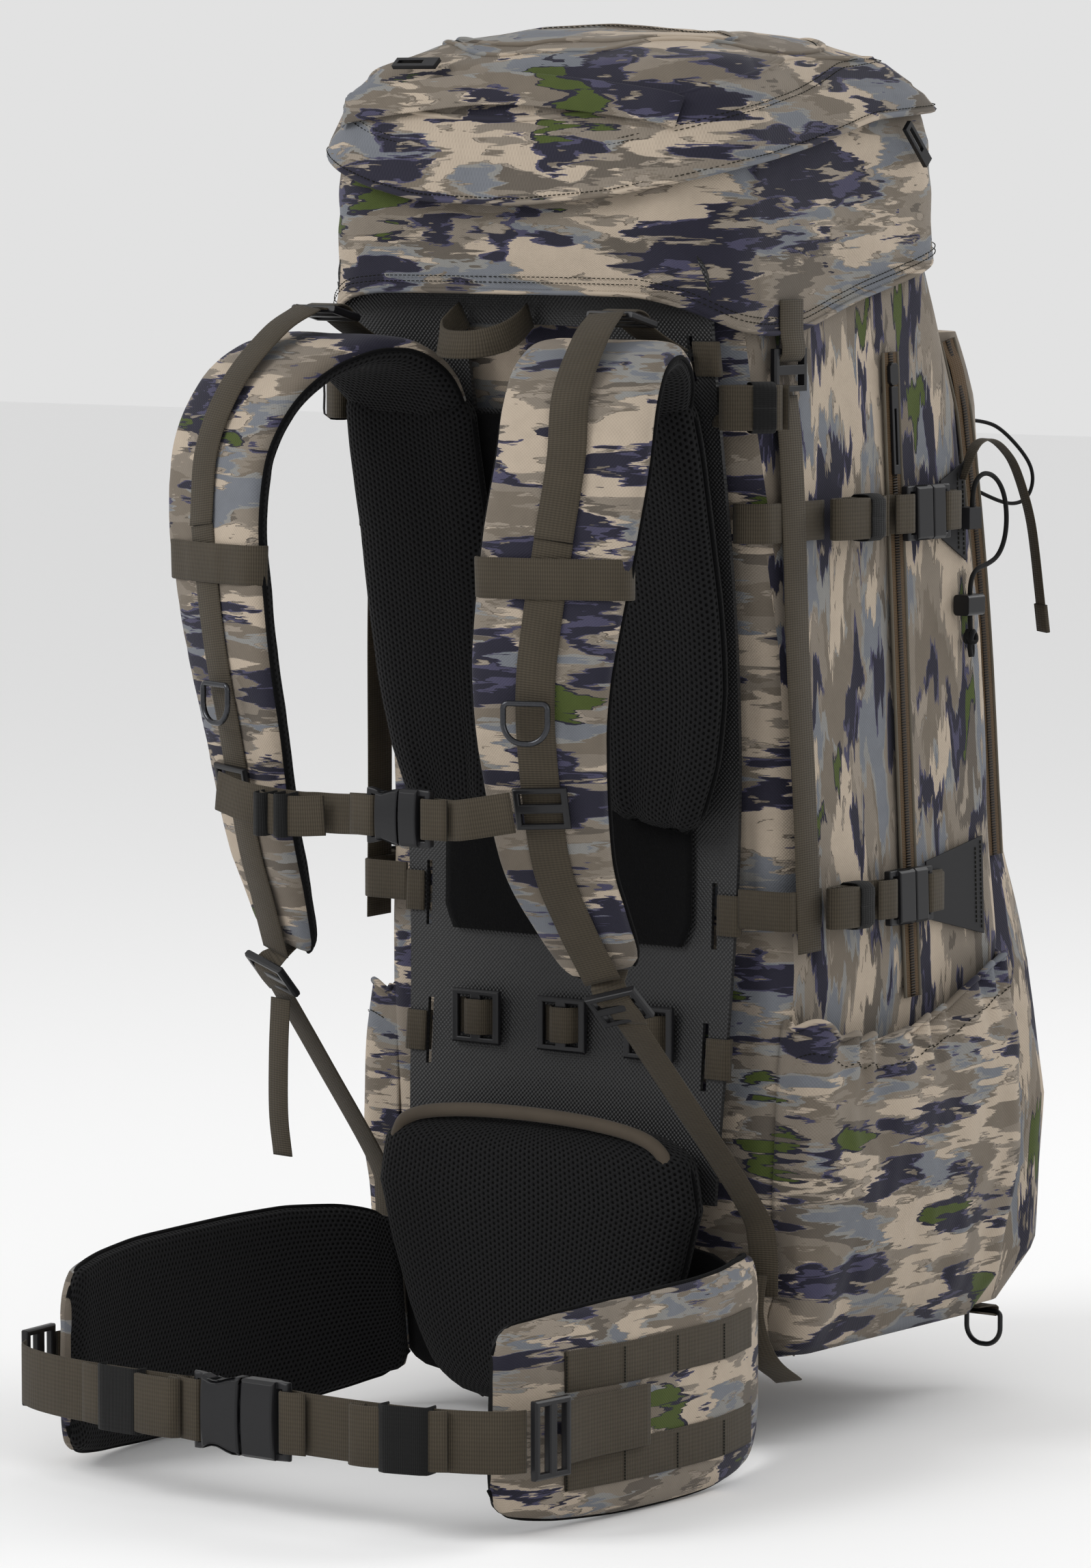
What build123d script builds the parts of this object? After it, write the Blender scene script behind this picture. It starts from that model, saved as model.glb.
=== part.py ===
"""Frame hunting backpack: polymer frame sheet, fabric bag, lid, harness and hip belt.

Millimetres, +Z up.  The origin is the middle of the bag's flat base.  The wearer's side, with the
frame sheet and the harness, faces -Y, and the wearer's belt closes at the -Y end.
"""
from build123d import *
import math
import os

# ---------------------------------------------------------------- driving dimensions
WEB = 25.0                 # width of the straps
BELT_WEB = 38.0            # width of the hip belt webbing
WEB_T = 1.4                # thickness of webbing
GAP = 0.5                  # running gap between neighbouring soft pieces

BAG_WALL = 3.0
BAG_RIM_Z = 700.0
SIDE_LOW_Z = 250.0         # the side panels are flat from here to the rim
SIDE_LOW_X = 168.0
SIDE_RIM_X = 154.0

SHEET_T = 3.0
SHEET_LOW_Z = 100.0
SHEET_TOP_Z = 715.0
SHEET_STEP = 20.0
WINDOW_X = 47.0
WINDOW_LOW_Z = 601.0
WINDOW_TOP_Z = 655.0

LID_HALF_X = 162.0
LID_BACK_Y = -212.0
LID_FRONT_Y = 75.0
LID_RIM_Z = 650.0
LID_CEILING_Z = 745.0
LID_TOP_Z = 840.0
LID_WALL = 5.5

PAD_T = 22.0               # shoulder pad thickness
BELT_Z = 4.0               # height of the hip belt webbing
BUCKLE_Y = -482.0          # the hip buckle's mid plane
WING_T = 21.0

# bag sections: height, half width, back, front, corner radius
BAG = [
    (0.0, 148.0, -126.0, 90.0, 30.0),
    (40.0, 162.0, -130.0, 120.0, 28.0),
    (SIDE_LOW_Z, SIDE_LOW_X, -124.0, 124.0, 24.0),
    (450.0, 161.78, -134.0, 106.0, 24.0),
    (600.0, 157.11, -162.0, 88.0, 28.0),
    (BAG_RIM_Z, SIDE_RIM_X, -182.0, 60.0, 36.0),
]

# front pocket sections: height, half width, front, corner radius
POCKET = [
    (4.0, 136.0, 148.0, 34.0),
    (50.0, 156.0, 170.0, 34.0),
    (140.0, 154.0, 178.0, 34.0),
    (300.0, 138.0, 178.0, 34.0),
    (460.0, 133.0, 170.0, 32.0),
    (600.0, 126.0, 160.0, 30.0),
    (645.0, 118.0, 148.0, 28.0),
]

nodes = {}


def put(name, *solids):
    """Adds solids to a node."""
    nodes.setdefault(name, []).extend(solids)


def table_value(table, z, column):
    """Linear value of one column of a table of sections at height z."""
    for low, high in zip(table, table[1:]):
        if z <= high[0]:
            share = (z - low[0]) / (high[0] - low[0])
            return low[column] + share * (high[column] - low[column])
    return table[-1][column]


def side_x(z):
    """Half width of the bag's flat side panel."""
    slope = (SIDE_RIM_X - SIDE_LOW_X) / (BAG_RIM_Z - SIDE_LOW_Z)
    return SIDE_LOW_X + (z - SIDE_LOW_Z) * slope


def sheet_y(z):
    """The frame sheet's S curve, which follows the wearer's spine."""
    u = (z - SHEET_LOW_Z) / 600.0
    return 310.0 * u**4 - 579.0 * u**3 + 208.0 * u**2 + 16.0 * u - 148.0


def sheet_half(z):
    """Half width of the frame sheet."""
    return 122.0 + (z - SHEET_LOW_Z) * 0.043


def sheet_path(high, low, x=0.0):
    """Points down the frame sheet's mid surface."""
    count = int(SHEET_TOP_Z // SHEET_STEP) + 1
    inner = [i * SHEET_STEP for i in range(count) if low < i * SHEET_STEP < high]
    return [(x, sheet_y(z), z) for z in [high] + inner[::-1] + [low]]


def per_point(value, count):
    """A value for each point, from one value or a list."""
    return list(value) if isinstance(value, (list, tuple)) else [value] * count


def frames(points, across):
    """Point, width direction and mitred normal at each point of a path."""
    route = [Vector(*p) for p in points]
    if not isinstance(across, list):
        across = [across] * len(route)
    result = []
    for i, p in enumerate(route):
        ahead = (route[min(i + 1, len(route) - 1)] - p) if i < len(route) - 1 else p - route[i - 1]
        behind = (p - route[i - 1]) if i > 0 else ahead
        ahead, behind = ahead.normalized(), behind.normalized()
        along = (ahead + behind).normalized()
        wide = Vector(*across[i])
        wide = (wide - along * wide.dot(along)).normalized()
        mitre = 1.0 / max(along.dot(ahead), 0.6)
        result.append((p, wide, along.cross(wide) * mitre))
    return result


def lifted(points, across, lift):
    """The path moved along its own normals."""
    moved = [p + normal * lift for p, _, normal in frames(points, across)]
    return [(p.X, p.Y, p.Z) for p in moved]


def band(points, width, thick, across=(1, 0, 0), lift=0.0, bevel=0.0):
    """A flat strap or pad that follows points; bevel rounds its long edges."""
    widths = per_point(width, len(points))
    thicks = per_point(thick, len(points))
    sections = []
    for (p, wide, normal), w, t in zip(frames(points, across), widths, thicks):
        w, t = w / 2, t / 2
        if bevel:
            b = min(bevel, t * 0.9)
            corners = [(w - b, -t), (w, b - t), (w, t - b), (w - b, t)]
            corners += [(-a, c) for a, c in reversed(corners)]
        else:
            corners = [(w, -t), (w, t), (-w, t), (-w, -t)]
        loop = [p + wide * a + normal * (c + lift) for a, c in corners]
        sections.append(make_face(Polyline(*loop, close=True)))
    return loft(sections, ruled=True)


def level_band(points, width, thick):
    """A strap on edge whose path lies in one level plane."""
    route = frames(points, (0, 0, 1))
    outline = [p + normal * (thick / 2) for p, _, normal in route]
    outline += [p - normal * (thick / 2) for p, _, normal in reversed(route)]
    return extrude(make_face(Polyline(*outline, close=True)), width / 2, dir=(0, 0, 1), both=True)


def both(shape):
    """A shape and its mirror image across the middle plane."""
    return [shape, mirror(shape, about=Plane.YZ)]


def block(low, high):
    """A box from its lowest to its highest corner."""
    size = [b - a for a, b in zip(low, high)]
    return Pos(*low) * Box(*size, align=(Align.MIN, Align.MIN, Align.MIN))


def rounded_loft(sections):
    """Ruled loft through rounded rectangles: z, half x, low y, high y, radius."""
    faces = []
    for z, half, low, high, radius in sections:
        shape = RectangleRounded(2 * half, high - low, radius)
        faces.append(Plane((0, (low + high) / 2, z)) * shape)
    return loft(faces, ruled=True)


def bag_solid(grow):
    """The bag's outside, grown on all sides."""
    sections = [(z, h + grow, low - grow, high + grow, r + grow) for z, h, low, high, r in BAG]
    sections[0] = (sections[0][0] - max(grow, 0.0), *sections[0][1:])
    return rounded_loft(sections)


# ---------------------------------------------------------------- moulded hardware
def slot_cut(x, width, length):
    """A cutter for a strap slot across a moulding, centred at x."""
    return Pos(x, 0, 0) * Box(length, width + 2.0, 40.0)


def ladder_lock(width, length=27.0, thick=5.0):
    """Adjuster with two strap slots: local X along the strap, Y across, Z through."""
    plate = Box(length, width + 10.0, thick)
    plate = chamfer(plate.edges().filter_by(Axis.X), 1.2)
    for x in (-length * 0.24, length * 0.24):
        plate -= slot_cut(x, width, length * 0.26)
    return plate


class Buckle:
    """Side release buckle: its mouth is at local x = 0, the socket lies on the -x side."""

    def __init__(self, web):
        scale = web / BELT_WEB
        self.web = web
        self.outer = web + 10.0
        self.thick = 10.0 + (web - 25.0) * 0.15
        self.socket_len = 39.0 * scale
        self.male_len = 35.0 * scale
        self.reach = 22.0 * scale
        self.cavity_half = self.outer / 2 - 2.6
        self.cavity_t = self.thick - 3.2
        self.prong_t = self.cavity_t - (4.0 if web > 30 else 2.8)
        self.arm_out = self.cavity_half - 5.0
        self.arm_in = self.arm_out - 5.0

    def socket(self):
        body = Pos(-self.socket_len / 2, 0, 0) * Box(self.socket_len, self.outer, self.thick)
        body = chamfer(body.edges().filter_by(Axis.X), 2.0)
        depth = self.reach + 1.5
        body -= block((-depth, -self.cavity_half, -self.cavity_t / 2),
                      (1, self.cavity_half, self.cavity_t / 2))
        window = self.cavity_t - 1.0
        body -= block((-self.reach - 1, -self.outer, -window / 2), (-self.reach * 0.35, self.outer, window / 2))
        slot_x = -self.socket_len + 6.25
        for low, high in ((-self.thick, -2.5), (2.5, self.thick)):
            body -= block((-self.socket_len - 1, -self.outer, low), (slot_x + 2.25, self.outer, high))
        return body - slot_cut(slot_x, self.web, 4.5)

    def male(self):
        front = 1.0
        body = block((front, -self.outer / 2, -self.thick / 2),
                     (self.male_len - 8.5, self.outer / 2, self.thick / 2))
        body = chamfer(body.edges().filter_by(Axis.X), 2.0)
        rear = block((self.male_len - 9.0, -self.outer / 2, -2.5), (self.male_len, self.outer / 2, 2.5))
        rear -= slot_cut(self.male_len - 6.25, self.web, 4.5)
        half = self.web * 0.105
        prong = block((-self.reach * 0.8, -half, -self.prong_t / 2), (front + 1, half, self.prong_t / 2))
        return body + rear + prong

    def lever(self, side, root=0.3):
        """One sprung arm with its latch head, on the +y or -y side."""
        r, y0, y1, y2 = self.reach, self.arm_in, self.arm_out, self.cavity_half - 0.6
        outline = [(root, y0), (root, y1), (-0.45 * r, y1), (-0.6 * r, y2), (-0.93 * r, y2 - 0.5),
                   (-r, y2 - 3), (-r, y0 + 1.5), (-0.8 * r, y0)]
        face = make_face(Polyline(*[(x, side * y) for x, y in outline], close=True))
        return Pos(0, 0, -self.prong_t / 2) * extrude(face, self.prong_t)

    def male_with_levers(self):
        return self.male() + self.lever(1, 1.5) + self.lever(-1, 1.5)

    def hook(self, end_x, side):
        """Webbing route round the rear bar of the half on one side: local (x, z) points."""
        slot = end_x - 6.25
        turn = 3.6
        route = [(end_x + 16, -1.6), (end_x + 8, -2.6), (end_x + 1, -turn), (slot + 1.0, -turn), (slot, 0),
                 (slot + 1.0, turn), (end_x + 1, turn), (end_x + 13, 1.6)]
        return [(side * x, z) for x, z in route]


def placed(plane, solids):
    """Solids moved from local axes to a plane."""
    return [plane * s for s in solids]


def world_points(plane, route):
    """Local (x, z) points of a strap route as world points."""
    points = [plane.from_local_coords(Vector(x, 0, z)) for x, z in route]
    return [(p.X, p.Y, p.Z) for p in points]


# ---------------------------------------------------------------- frame
def make_frame():
    path = sheet_path(SHEET_TOP_Z, SHEET_LOW_Z)
    sheet = band(path, [2 * sheet_half(z) for _, _, z in path], SHEET_T)
    sheet -= block((-WINDOW_X, -260, WINDOW_LOW_Z), (WINDOW_X, -100, WINDOW_TOP_Z))
    corner = block((120, -260, 680), (200, -100, 800)) - Pos(120, -150, 682) * Rot(90, 0, 0) * Cylinder(26, 300)
    sheet -= corner
    sheet -= mirror(corner, about=Plane.YZ)
    for x, low, high in ((128, 622, 650), (114, 262, 304), (110, 172, 215)):
        for side in (-1, 1):
            sheet -= block((side * x - 2.2, -260, low), (side * x + 2.2, -100, high))
    put("frame_sheet", sheet)
    for side in (-1, 1):
        stay = band(sheet_path(590, 130, side * 96), 14, 2.5, lift=-(SHEET_T / 2 + 0.3 + 1.25))
        put("frame_stays", stay)
    put("loop_panel", band(sheet_path(598, 262), 196, 2, lift=SHEET_T / 2 + 0.3 + 1))


GLIDE_Z = 206.0


def make_tri_glides():
    """Three tri-glides on the lower sheet, each on a bridge of webbing."""
    face_y = sheet_y(GLIDE_Z) - SHEET_T / 2
    for x in (-69, 0, 69):
        plane = Plane(origin=(x, face_y - 4.6, GLIDE_Z), x_dir=(1, 0, 0), z_dir=(0, -1, 0))
        put("tri_glides", *placed(plane, [ladder_lock(WEB, 38, 4)]))
        bridge = [(-16, -3), (-9.8, -3), (-6.6, 3.4), (6.6, 3.4), (9.8, -3), (16, -3)]
        put("frame_webbing", band(world_points(plane, bridge), WEB - 2, 1.2, across=(0, 0, 1)))


def edge_tab(x, z, height=WEB):
    """Webbing folded round the sheet's edge, from its slot."""
    y, edge = sheet_y(z), sheet_half(z + height / 2)
    reach = SHEET_T / 2 + 1.3
    tilt = (0, (sheet_y(z + 10) - sheet_y(z - 10)) / 20, 1)
    route = [(x, y - reach), (edge + 1, y - reach), (edge + 2.4, y), (edge + 1, y + reach), (x, y + reach)]
    return band([(a, b, z) for a, b in route], height, WEB_T, across=tilt)


def make_tabs():
    put("frame_webbing", *both(edge_tab(112, 193, 26)), *both(edge_tab(131, 636, 22)))


# ---------------------------------------------------------------- bag
PANEL_REACH = 60.0          # the cutters run this far past the corner arcs' centres


def back_corners(x, low, high):
    r = PANEL_REACH
    return [(-x, low), (x, low), (x + r, low - r), (-x - r, low - r)]


def front_corners(x, low, high):
    r = PANEL_REACH
    return [(x, high), (-x, high), (-x - r, high + r), (x + r, high + r)]


def side_corners(x, low, high):
    r = PANEL_REACH
    return [(x, low), (x, high), (x + r, high + r), (x + r, low - r)]


def panel_cutter(corners):
    """Cuts one sewn panel out of the bag's walls, with seams half way round the corner arcs."""
    faces = []
    for z, half, low, high, r in BAG:
        outline = Polyline(*corners(half - r, low + r, high - r), close=True)
        faces.append(Plane((0, 0, z)) * make_face(outline))
    return loft(faces, ruled=True)


def make_bag():
    """The floor, back, front and sides, each a panel of its own."""
    outer = bag_solid(0.0)
    sections = [(z, h - BAG_WALL, low + BAG_WALL, high - BAG_WALL, r - BAG_WALL) for z, h, low, high, r in BAG]
    sections[0] = (BAG_WALL, *sections[0][1:])
    inner = rounded_loft(sections) + Pos(0, 0, BAG_RIM_Z) * extrude(
        Plane((0, (sections[-1][2] + sections[-1][3]) / 2, 0)) * RectangleRounded(
            2 * sections[-1][1], sections[-1][3] - sections[-1][2], sections[-1][4]), 5)
    shell = outer - inner
    floor = block((-200, -200, -1), (200, 200, BAG_WALL))
    put("bag_body", shell & floor)
    walls = shell - floor
    for corners in (back_corners, front_corners, side_corners):
        panel = walls & panel_cutter(corners)
        put("bag_body", *(both(panel) if corners is side_corners else [panel]))


def make_front_pocket():
    sections = [(z, half, 40.0, front, r) for z, half, front, r in POCKET]
    put("front_pocket", rounded_loft(sections) - bag_solid(0.4))


SIDE_POCKET = [
    # height, outer half width, back, front
    (2.0, 160.0, -116.0, 96.0),
    (30.0, 178.0, -124.0, 108.0),
    (110.0, 190.0, -126.0, 112.0),
    (180.0, 189.0, -124.0, 112.0),
    (238.0, 183.0, -118.0, 108.0),
]
SIDE_POCKET_WALL = 3.0


def make_side_pockets():
    """Stretch pockets open at the top; the mouth drops towards the harness."""
    outer = rounded_loft([(z, h, low, high, 18) for z, h, low, high in SIDE_POCKET])
    w = SIDE_POCKET_WALL
    inner_sections = [(z, h - w, low + w, high - w, 15) for z, h, low, high in SIDE_POCKET]
    inner_sections[0] = (SIDE_POCKET[0][0] + w, *inner_sections[0][1:])
    top = inner_sections[-1]
    inner_sections.append((top[0] + 10, *top[1:]))
    shell = outer - rounded_loft(inner_sections) - bag_solid(0.4)
    front_cut = rounded_loft([(z, half + 0.4, 40.0, front + 0.4, r) for z, half, front, r in POCKET])
    shell -= front_cut
    mouth = make_face(Polyline((-200, 204), (-40, 206), (60, 226), (200, 244), (200, 400), (-200, 400), close=True))
    shell -= extrude(Plane.YZ * mouth, 400, both=True)
    right = shell & block((146, -300, -10), (300, 300, 400))
    put("side_pocket_right", right)
    put("side_pocket_left", mirror(right, about=Plane.YZ))


# ---------------------------------------------------------------- lid
def make_lid():
    sections = [
        (LID_RIM_Z, LID_HALF_X, LID_BACK_Y, LID_FRONT_Y, 52),
        (770, LID_HALF_X - 1, LID_BACK_Y + 2, LID_FRONT_Y - 1, 54),
        (800, 155, -204, 66, 54),
        (820, 138, -188, 48, 52),
        (833, 108, -156, 20, 48),
        (LID_TOP_Z, 70, -116, -14, 40),
    ]
    shell = rounded_loft(sections)
    low, high = LID_BACK_Y + LID_WALL, LID_FRONT_Y - LID_WALL
    half = LID_HALF_X - LID_WALL
    cavity = extrude(Plane((0, (low + high) / 2, LID_RIM_Z - 5)) * RectangleRounded(2 * half, high - low, 40),
                     LID_CEILING_Z - LID_RIM_Z + 5)
    shell -= cavity
    rim_cut = make_face(Polyline((-140, 600), (-140, 651), (100, 694), (100, 600), close=True))
    shell -= extrude(Plane.YZ * rim_cut, 400, both=True)
    arch = make_face(Spline((-150, 649), (0, 672), (150, 649)) + Line((150, 649), (-150, 649)))
    shell -= Pos(0, -190, 0) * extrude(Plane.XZ * arch, 40)
    put("lid_pouch", shell)
    seam = [(-118, 776), (-60, 792), (0, 797), (60, 792), (118, 776)]
    zip_strip = band([(x, -209 + (z - 770) * 0.12, z) for x, z in seam], 8, 1.6,
                     across=(0, 0.2, 0.98), lift=2)
    put("lid_zip", zip_strip - rounded_loft([(z, h + 0.3, a - 0.3, b + 0.3, r + 0.3)
                                             for z, h, a, b, r in sections]))


# ---------------------------------------------------------------- harness
# right shoulder pad's mid line, from the frame over the wearer's shoulder and down the chest
PAD_LINE = [
    (86, -197, 608), (92, -208, 622), (101, -227, 634), (110, -252, 638), (121, -281, 629),
    (131, -304, 608), (137, -319, 575), (134, -328, 530), (127, -330, 485), (121, -329, 445),
    (117, -322, 402), (116, -307, 336), (120, -288, 297), (126, -268, 262),
]
PAD_WIDTH = [88, 94, 98, 100, 100, 100, 99, 97, 93, 88, 82, 72, 62, 50]
PAD_TILT = [0, 0, 2, 5, 9, 13, 16, 18, 18, 18, 18, 18, 18, 18]
PAD_ACROSS = [(math.cos(math.radians(t)), math.sin(math.radians(t)), 0) for t in PAD_TILT]
PAD_FACE = PAD_T / 2 + GAP + WEB_T / 2


def pad_strip(first, last, width, thick, lift, shift=0.0):
    """Webbing on the pad's outer face between two stations of its mid line."""
    points = [(x + shift, y, z) for x, y, z in PAD_LINE[first:last]]
    return band(points, width, thick, across=PAD_ACROSS[first:last], lift=lift)


def pad_plane(station_z, lift):
    """Plane on the pad's face: local X up the strap, local Z outwards."""
    for i in range(6, len(PAD_LINE) - 1):
        if PAD_LINE[i][2] >= station_z >= PAD_LINE[i + 1][2]:
            break
    top, bottom = (lifted(PAD_LINE, PAD_ACROSS, lift)[k] for k in (i, i + 1))
    top, bottom = Vector(*top), Vector(*bottom)
    along = (top - bottom).normalized()
    share = (station_z - bottom.Z) / (top.Z - bottom.Z)
    wide = Vector(*PAD_ACROSS[i])
    wide = (wide - along * wide.dot(along)).normalized()
    return Plane(origin=bottom + (top - bottom) * share, x_dir=along, z_dir=wide.cross(along))


def make_shoulders():
    pad = band(PAD_LINE, PAD_WIDTH, [20] + [PAD_T] * 11 + [19, 15], across=PAD_ACROSS, bevel=6)
    put("shoulder_pad_right", pad)
    put("shoulder_pad_left", mirror(pad, about=Plane.YZ))
    put("shoulder_webbing", *both(pad_strip(7, 14, WEB, WEB_T, PAD_FACE)))
    centre = lifted(PAD_LINE, PAD_ACROSS, PAD_FACE + WEB_T + 0.8)[7:9]
    middle = [(a + b) / 2 for a, b in zip(*centre)]
    wide = PAD_ACROSS[8]
    ends = [tuple(m + side * 44 * w for m, w in zip(middle, wide)) for side in (-1, 1)]
    put("shoulder_webbing", *both(band(ends, WEB, WEB_T, across=(0, -0.04, 1))))
    lock_plane = Plane(origin=(137.5, -272, 241), x_dir=(0.06, 0.72, -0.69), z_dir=(0.3, -0.66, -0.69))
    put("strap_adjusters", *both(lock_plane * ladder_lock(WEB)))
    lower = [(138.5, -262, 230), (143, -215, 178), (149, -150, 104), (151.5, -139, 78), (152, -138, 44)]
    put("shoulder_webbing", *both(band(lower, 20, WEB_T, across=(1, 0.2, 0))))


def make_load_lifters():
    """Straps from the frame's top over the pads, with an adjuster over each shoulder."""
    start = [(118, -190.5, 641), (117, -212, 649.5), (116.5, -226, 656.5)]
    over = lifted(PAD_LINE, PAD_ACROSS, PAD_FACE + 0.6)
    front = [(117, -258.5, 665.5), (124, -284, 651), (132.5, -315, 619)] + over[6:8]
    across = [(1, 0, 0), PAD_ACROSS[4], PAD_ACROSS[5], PAD_ACROSS[6], PAD_ACROSS[7]]
    put("load_lifter_straps", *both(band(start, WEB, WEB_T)), *both(band(front, WEB, WEB_T, across=across)))
    plane = Plane(origin=(116.5, -241.5, 661.5), x_dir=(0, -0.97, 0.24), z_dir=(0, 0.24, 0.97))
    put("strap_adjusters", *both(plane * ladder_lock(WEB)))


def d_ring(width, height, wire):
    """Closed ring with a straight bar on top: local X along the bar, Z up, bar at the origin."""
    half = (width - wire) / 2
    low = -(height - wire)
    outline = FilletPolyline((-half, 0, 0), (half, 0, 0), (half, 0, low), (-half, 0, low),
                             radius=[3.2, 3.2, half * 0.9, half * 0.9], close=True)
    start = outline.edges().sort_by(Axis.Z)[-1]
    section = Plane(origin=start @ 0.5, z_dir=start % 0.5) * Circle(wire / 2)
    return sweep(section, path=outline)


D_RING_AT = (121.6, -346.6, 432.0)


def make_d_rings():
    ring = Pos(*D_RING_AT) * Rot(0, 0, 18) * d_ring(32, 28, 3.6)
    put("d_ring_right", ring)
    put("d_ring_left", mirror(ring, about=Plane.YZ))


def make_back_pads():
    stations = [585, 540, 476, 420, 370, 342]
    centre = [85, 88, 89, 88, 83, 78]
    widths = [88, 94, 97, 94, 80, 62]
    lift = SHEET_T / 2 + 0.3 + 2.0 + 0.6 + 12
    path = [(x, sheet_y(z), z) for x, z in zip(centre, stations)]
    put("back_pads", *both(band(path, widths, 24, lift=lift, bevel=7)))


def make_lumbar():
    path = [(0, -171.5, z) for z in (150, 131, 99, 40, -10, -38)]
    put("lumbar_pad", band(path, [204, 238, 250, 216, 166, 124], 40, bevel=9))
    put("belt_yoke", block((-134, -147, -34), (134, -135, 74)))


def make_haul_loop():
    loop = [(-44, -192, 661), (-45, -204, 654), (-43, -217, 648), (-33, -229, 644), (-18, -233, 643),
            (-3, -229, 644), (7, -217, 648), (9, -204, 654), (8, -192, 661)]
    put("haul_loop", band(loop, 18, 2.0, across=(0, 0.25, 1)))


# ---------------------------------------------------------------- sternum strap
STERNUM = Buckle(WEB)
STERNUM_Z = 367.0
STERNUM_X = 42.0            # the buckle's mouth
STERNUM_PLANE = Plane(origin=(STERNUM_X, -366, 360), x_dir=(1, 0, 0), z_dir=(0, -1, 0))


def make_sternum():
    plane = pad_plane(STERNUM_Z, PAD_FACE + WEB_T / 2 + 0.8 + 2.2)
    put("sternum_sliders", *both(plane * ladder_lock(WEB, 26, 4)))
    print("sternum slide axis", [round(v, 5) for v in plane.x_dir])
    end = plane.origin + plane.z_dir * 4.8
    across = (0, 0, 1)
    right = world_points(STERNUM_PLANE, STERNUM.hook(STERNUM.male_len, 1)[::-1])
    right += [(92, -364, 361.5), (end.X - 2, end.Y - 1, end.Z)]
    left = world_points(STERNUM_PLANE, STERNUM.hook(STERNUM.socket_len, -1)[::-1])
    put("sternum_webbing", band(right, WEB, WEB_T, across=across))
    inner = [(-14, -362.6, 358), (-46, -363.5, 358), (-84, -361, 361), (-end.X + 2, end.Y - 1, end.Z)]
    put("sternum_webbing", band(inner, WEB, WEB_T, across=across))
    put("sternum_male", STERNUM_PLANE * STERNUM.male())
    put("sternum_lever_upper", STERNUM_PLANE * STERNUM.lever(1))
    put("sternum_lever_lower", STERNUM_PLANE * STERNUM.lever(-1))
    put("sternum_socket", STERNUM_PLANE * STERNUM.socket())
    put("sternum_socket", band(left, WEB, WEB_T, across=across))


# ---------------------------------------------------------------- hip belt
WING_LINE = [
    (141, -153, 18), (160, -170, 17), (178, -205, 14), (189, -250, 11), (190, -300, 10),
    (187, -350, 10), (179, -398, 10), (166, -440, 11),
]
WING_HEIGHT = [104, 118, 128, 131, 131, 130, 124, 106]
WING_THICK = [15, 17, 20] + [WING_T] * 4 + [18]
HIP = Buckle(BELT_WEB)
HIP_X = 12.0
HIP_PLANE = Plane(origin=(HIP_X, BUCKLE_Y, BELT_Z), x_dir=(1, 0, 0), z_dir=(0, -1, 0))


def make_belt():
    wing = band(WING_LINE, WING_HEIGHT, WING_THICK, across=(0, 0, 1), bevel=7)
    put("wing_right", wing)
    put("wing_left", mirror(wing, about=Plane.YZ))
    anchor = level_band([(203.2, -330, BELT_Z), (201.8, -352, BELT_Z), (199.6, -376, BELT_Z),
                         (199.4, -396, BELT_Z), (200.6, -411, BELT_Z)], BELT_WEB, 2.0)
    lock_plane = Plane(origin=(201.5, -427, BELT_Z), x_dir=(-0.1, -0.995, 0), z_dir=(0.995, -0.1, 0))
    lock = lock_plane * ladder_lock(BELT_WEB, 31, 5.5)
    far = [(196.5, -444.5, BELT_Z), (187, -458, BELT_Z), (160, -471, BELT_Z), (118, -479, BELT_Z)]
    right = far + world_points(HIP_PLANE, HIP.hook(HIP.male_len, 1))
    left = [(-x, y, z) for x, y, z in far] + world_points(HIP_PLANE, HIP.hook(HIP.socket_len, -1))
    for name, route, mirrored in (("right", right, False), ("left", left, True)):
        flip = (lambda s: mirror(s, about=Plane.YZ)) if mirrored else (lambda s: s)
        put("belt_lock_" + name, flip(lock))
        put("belt_webbing_" + name, flip(anchor), level_band(route, BELT_WEB, WEB_T))
    put("hip_male", HIP_PLANE * HIP.male())
    put("hip_lever_upper", HIP_PLANE * HIP.lever(1))
    put("hip_lever_lower", HIP_PLANE * HIP.lever(-1))
    put("hip_socket", HIP_PLANE * HIP.socket())


# ---------------------------------------------------------------- side compression straps
SIDE = Buckle(WEB)
SIDE_LIFT = 10.8            # the buckles stand off so that the zip slider passes beneath
STRAP_LIFT = 3.2


def side_plane(y, z, lift):
    """Plane on the flat right side panel: local X towards +Y, local Z outwards."""
    slope = math.atan2(SIDE_LOW_X - SIDE_RIM_X, BAG_RIM_Z - SIDE_LOW_Z)
    out = (math.cos(slope), 0, math.sin(slope))
    origin = (side_x(z) + out[0] * lift, y, z + out[2] * lift)
    return Plane(origin=origin, x_dir=(0, 1, 0), z_dir=out)


def side_points(route, z):
    """(y, lift) pairs on the side panel as world points."""
    return [tuple(side_plane(y, z, lift).origin) for y, lift in route]


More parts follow.
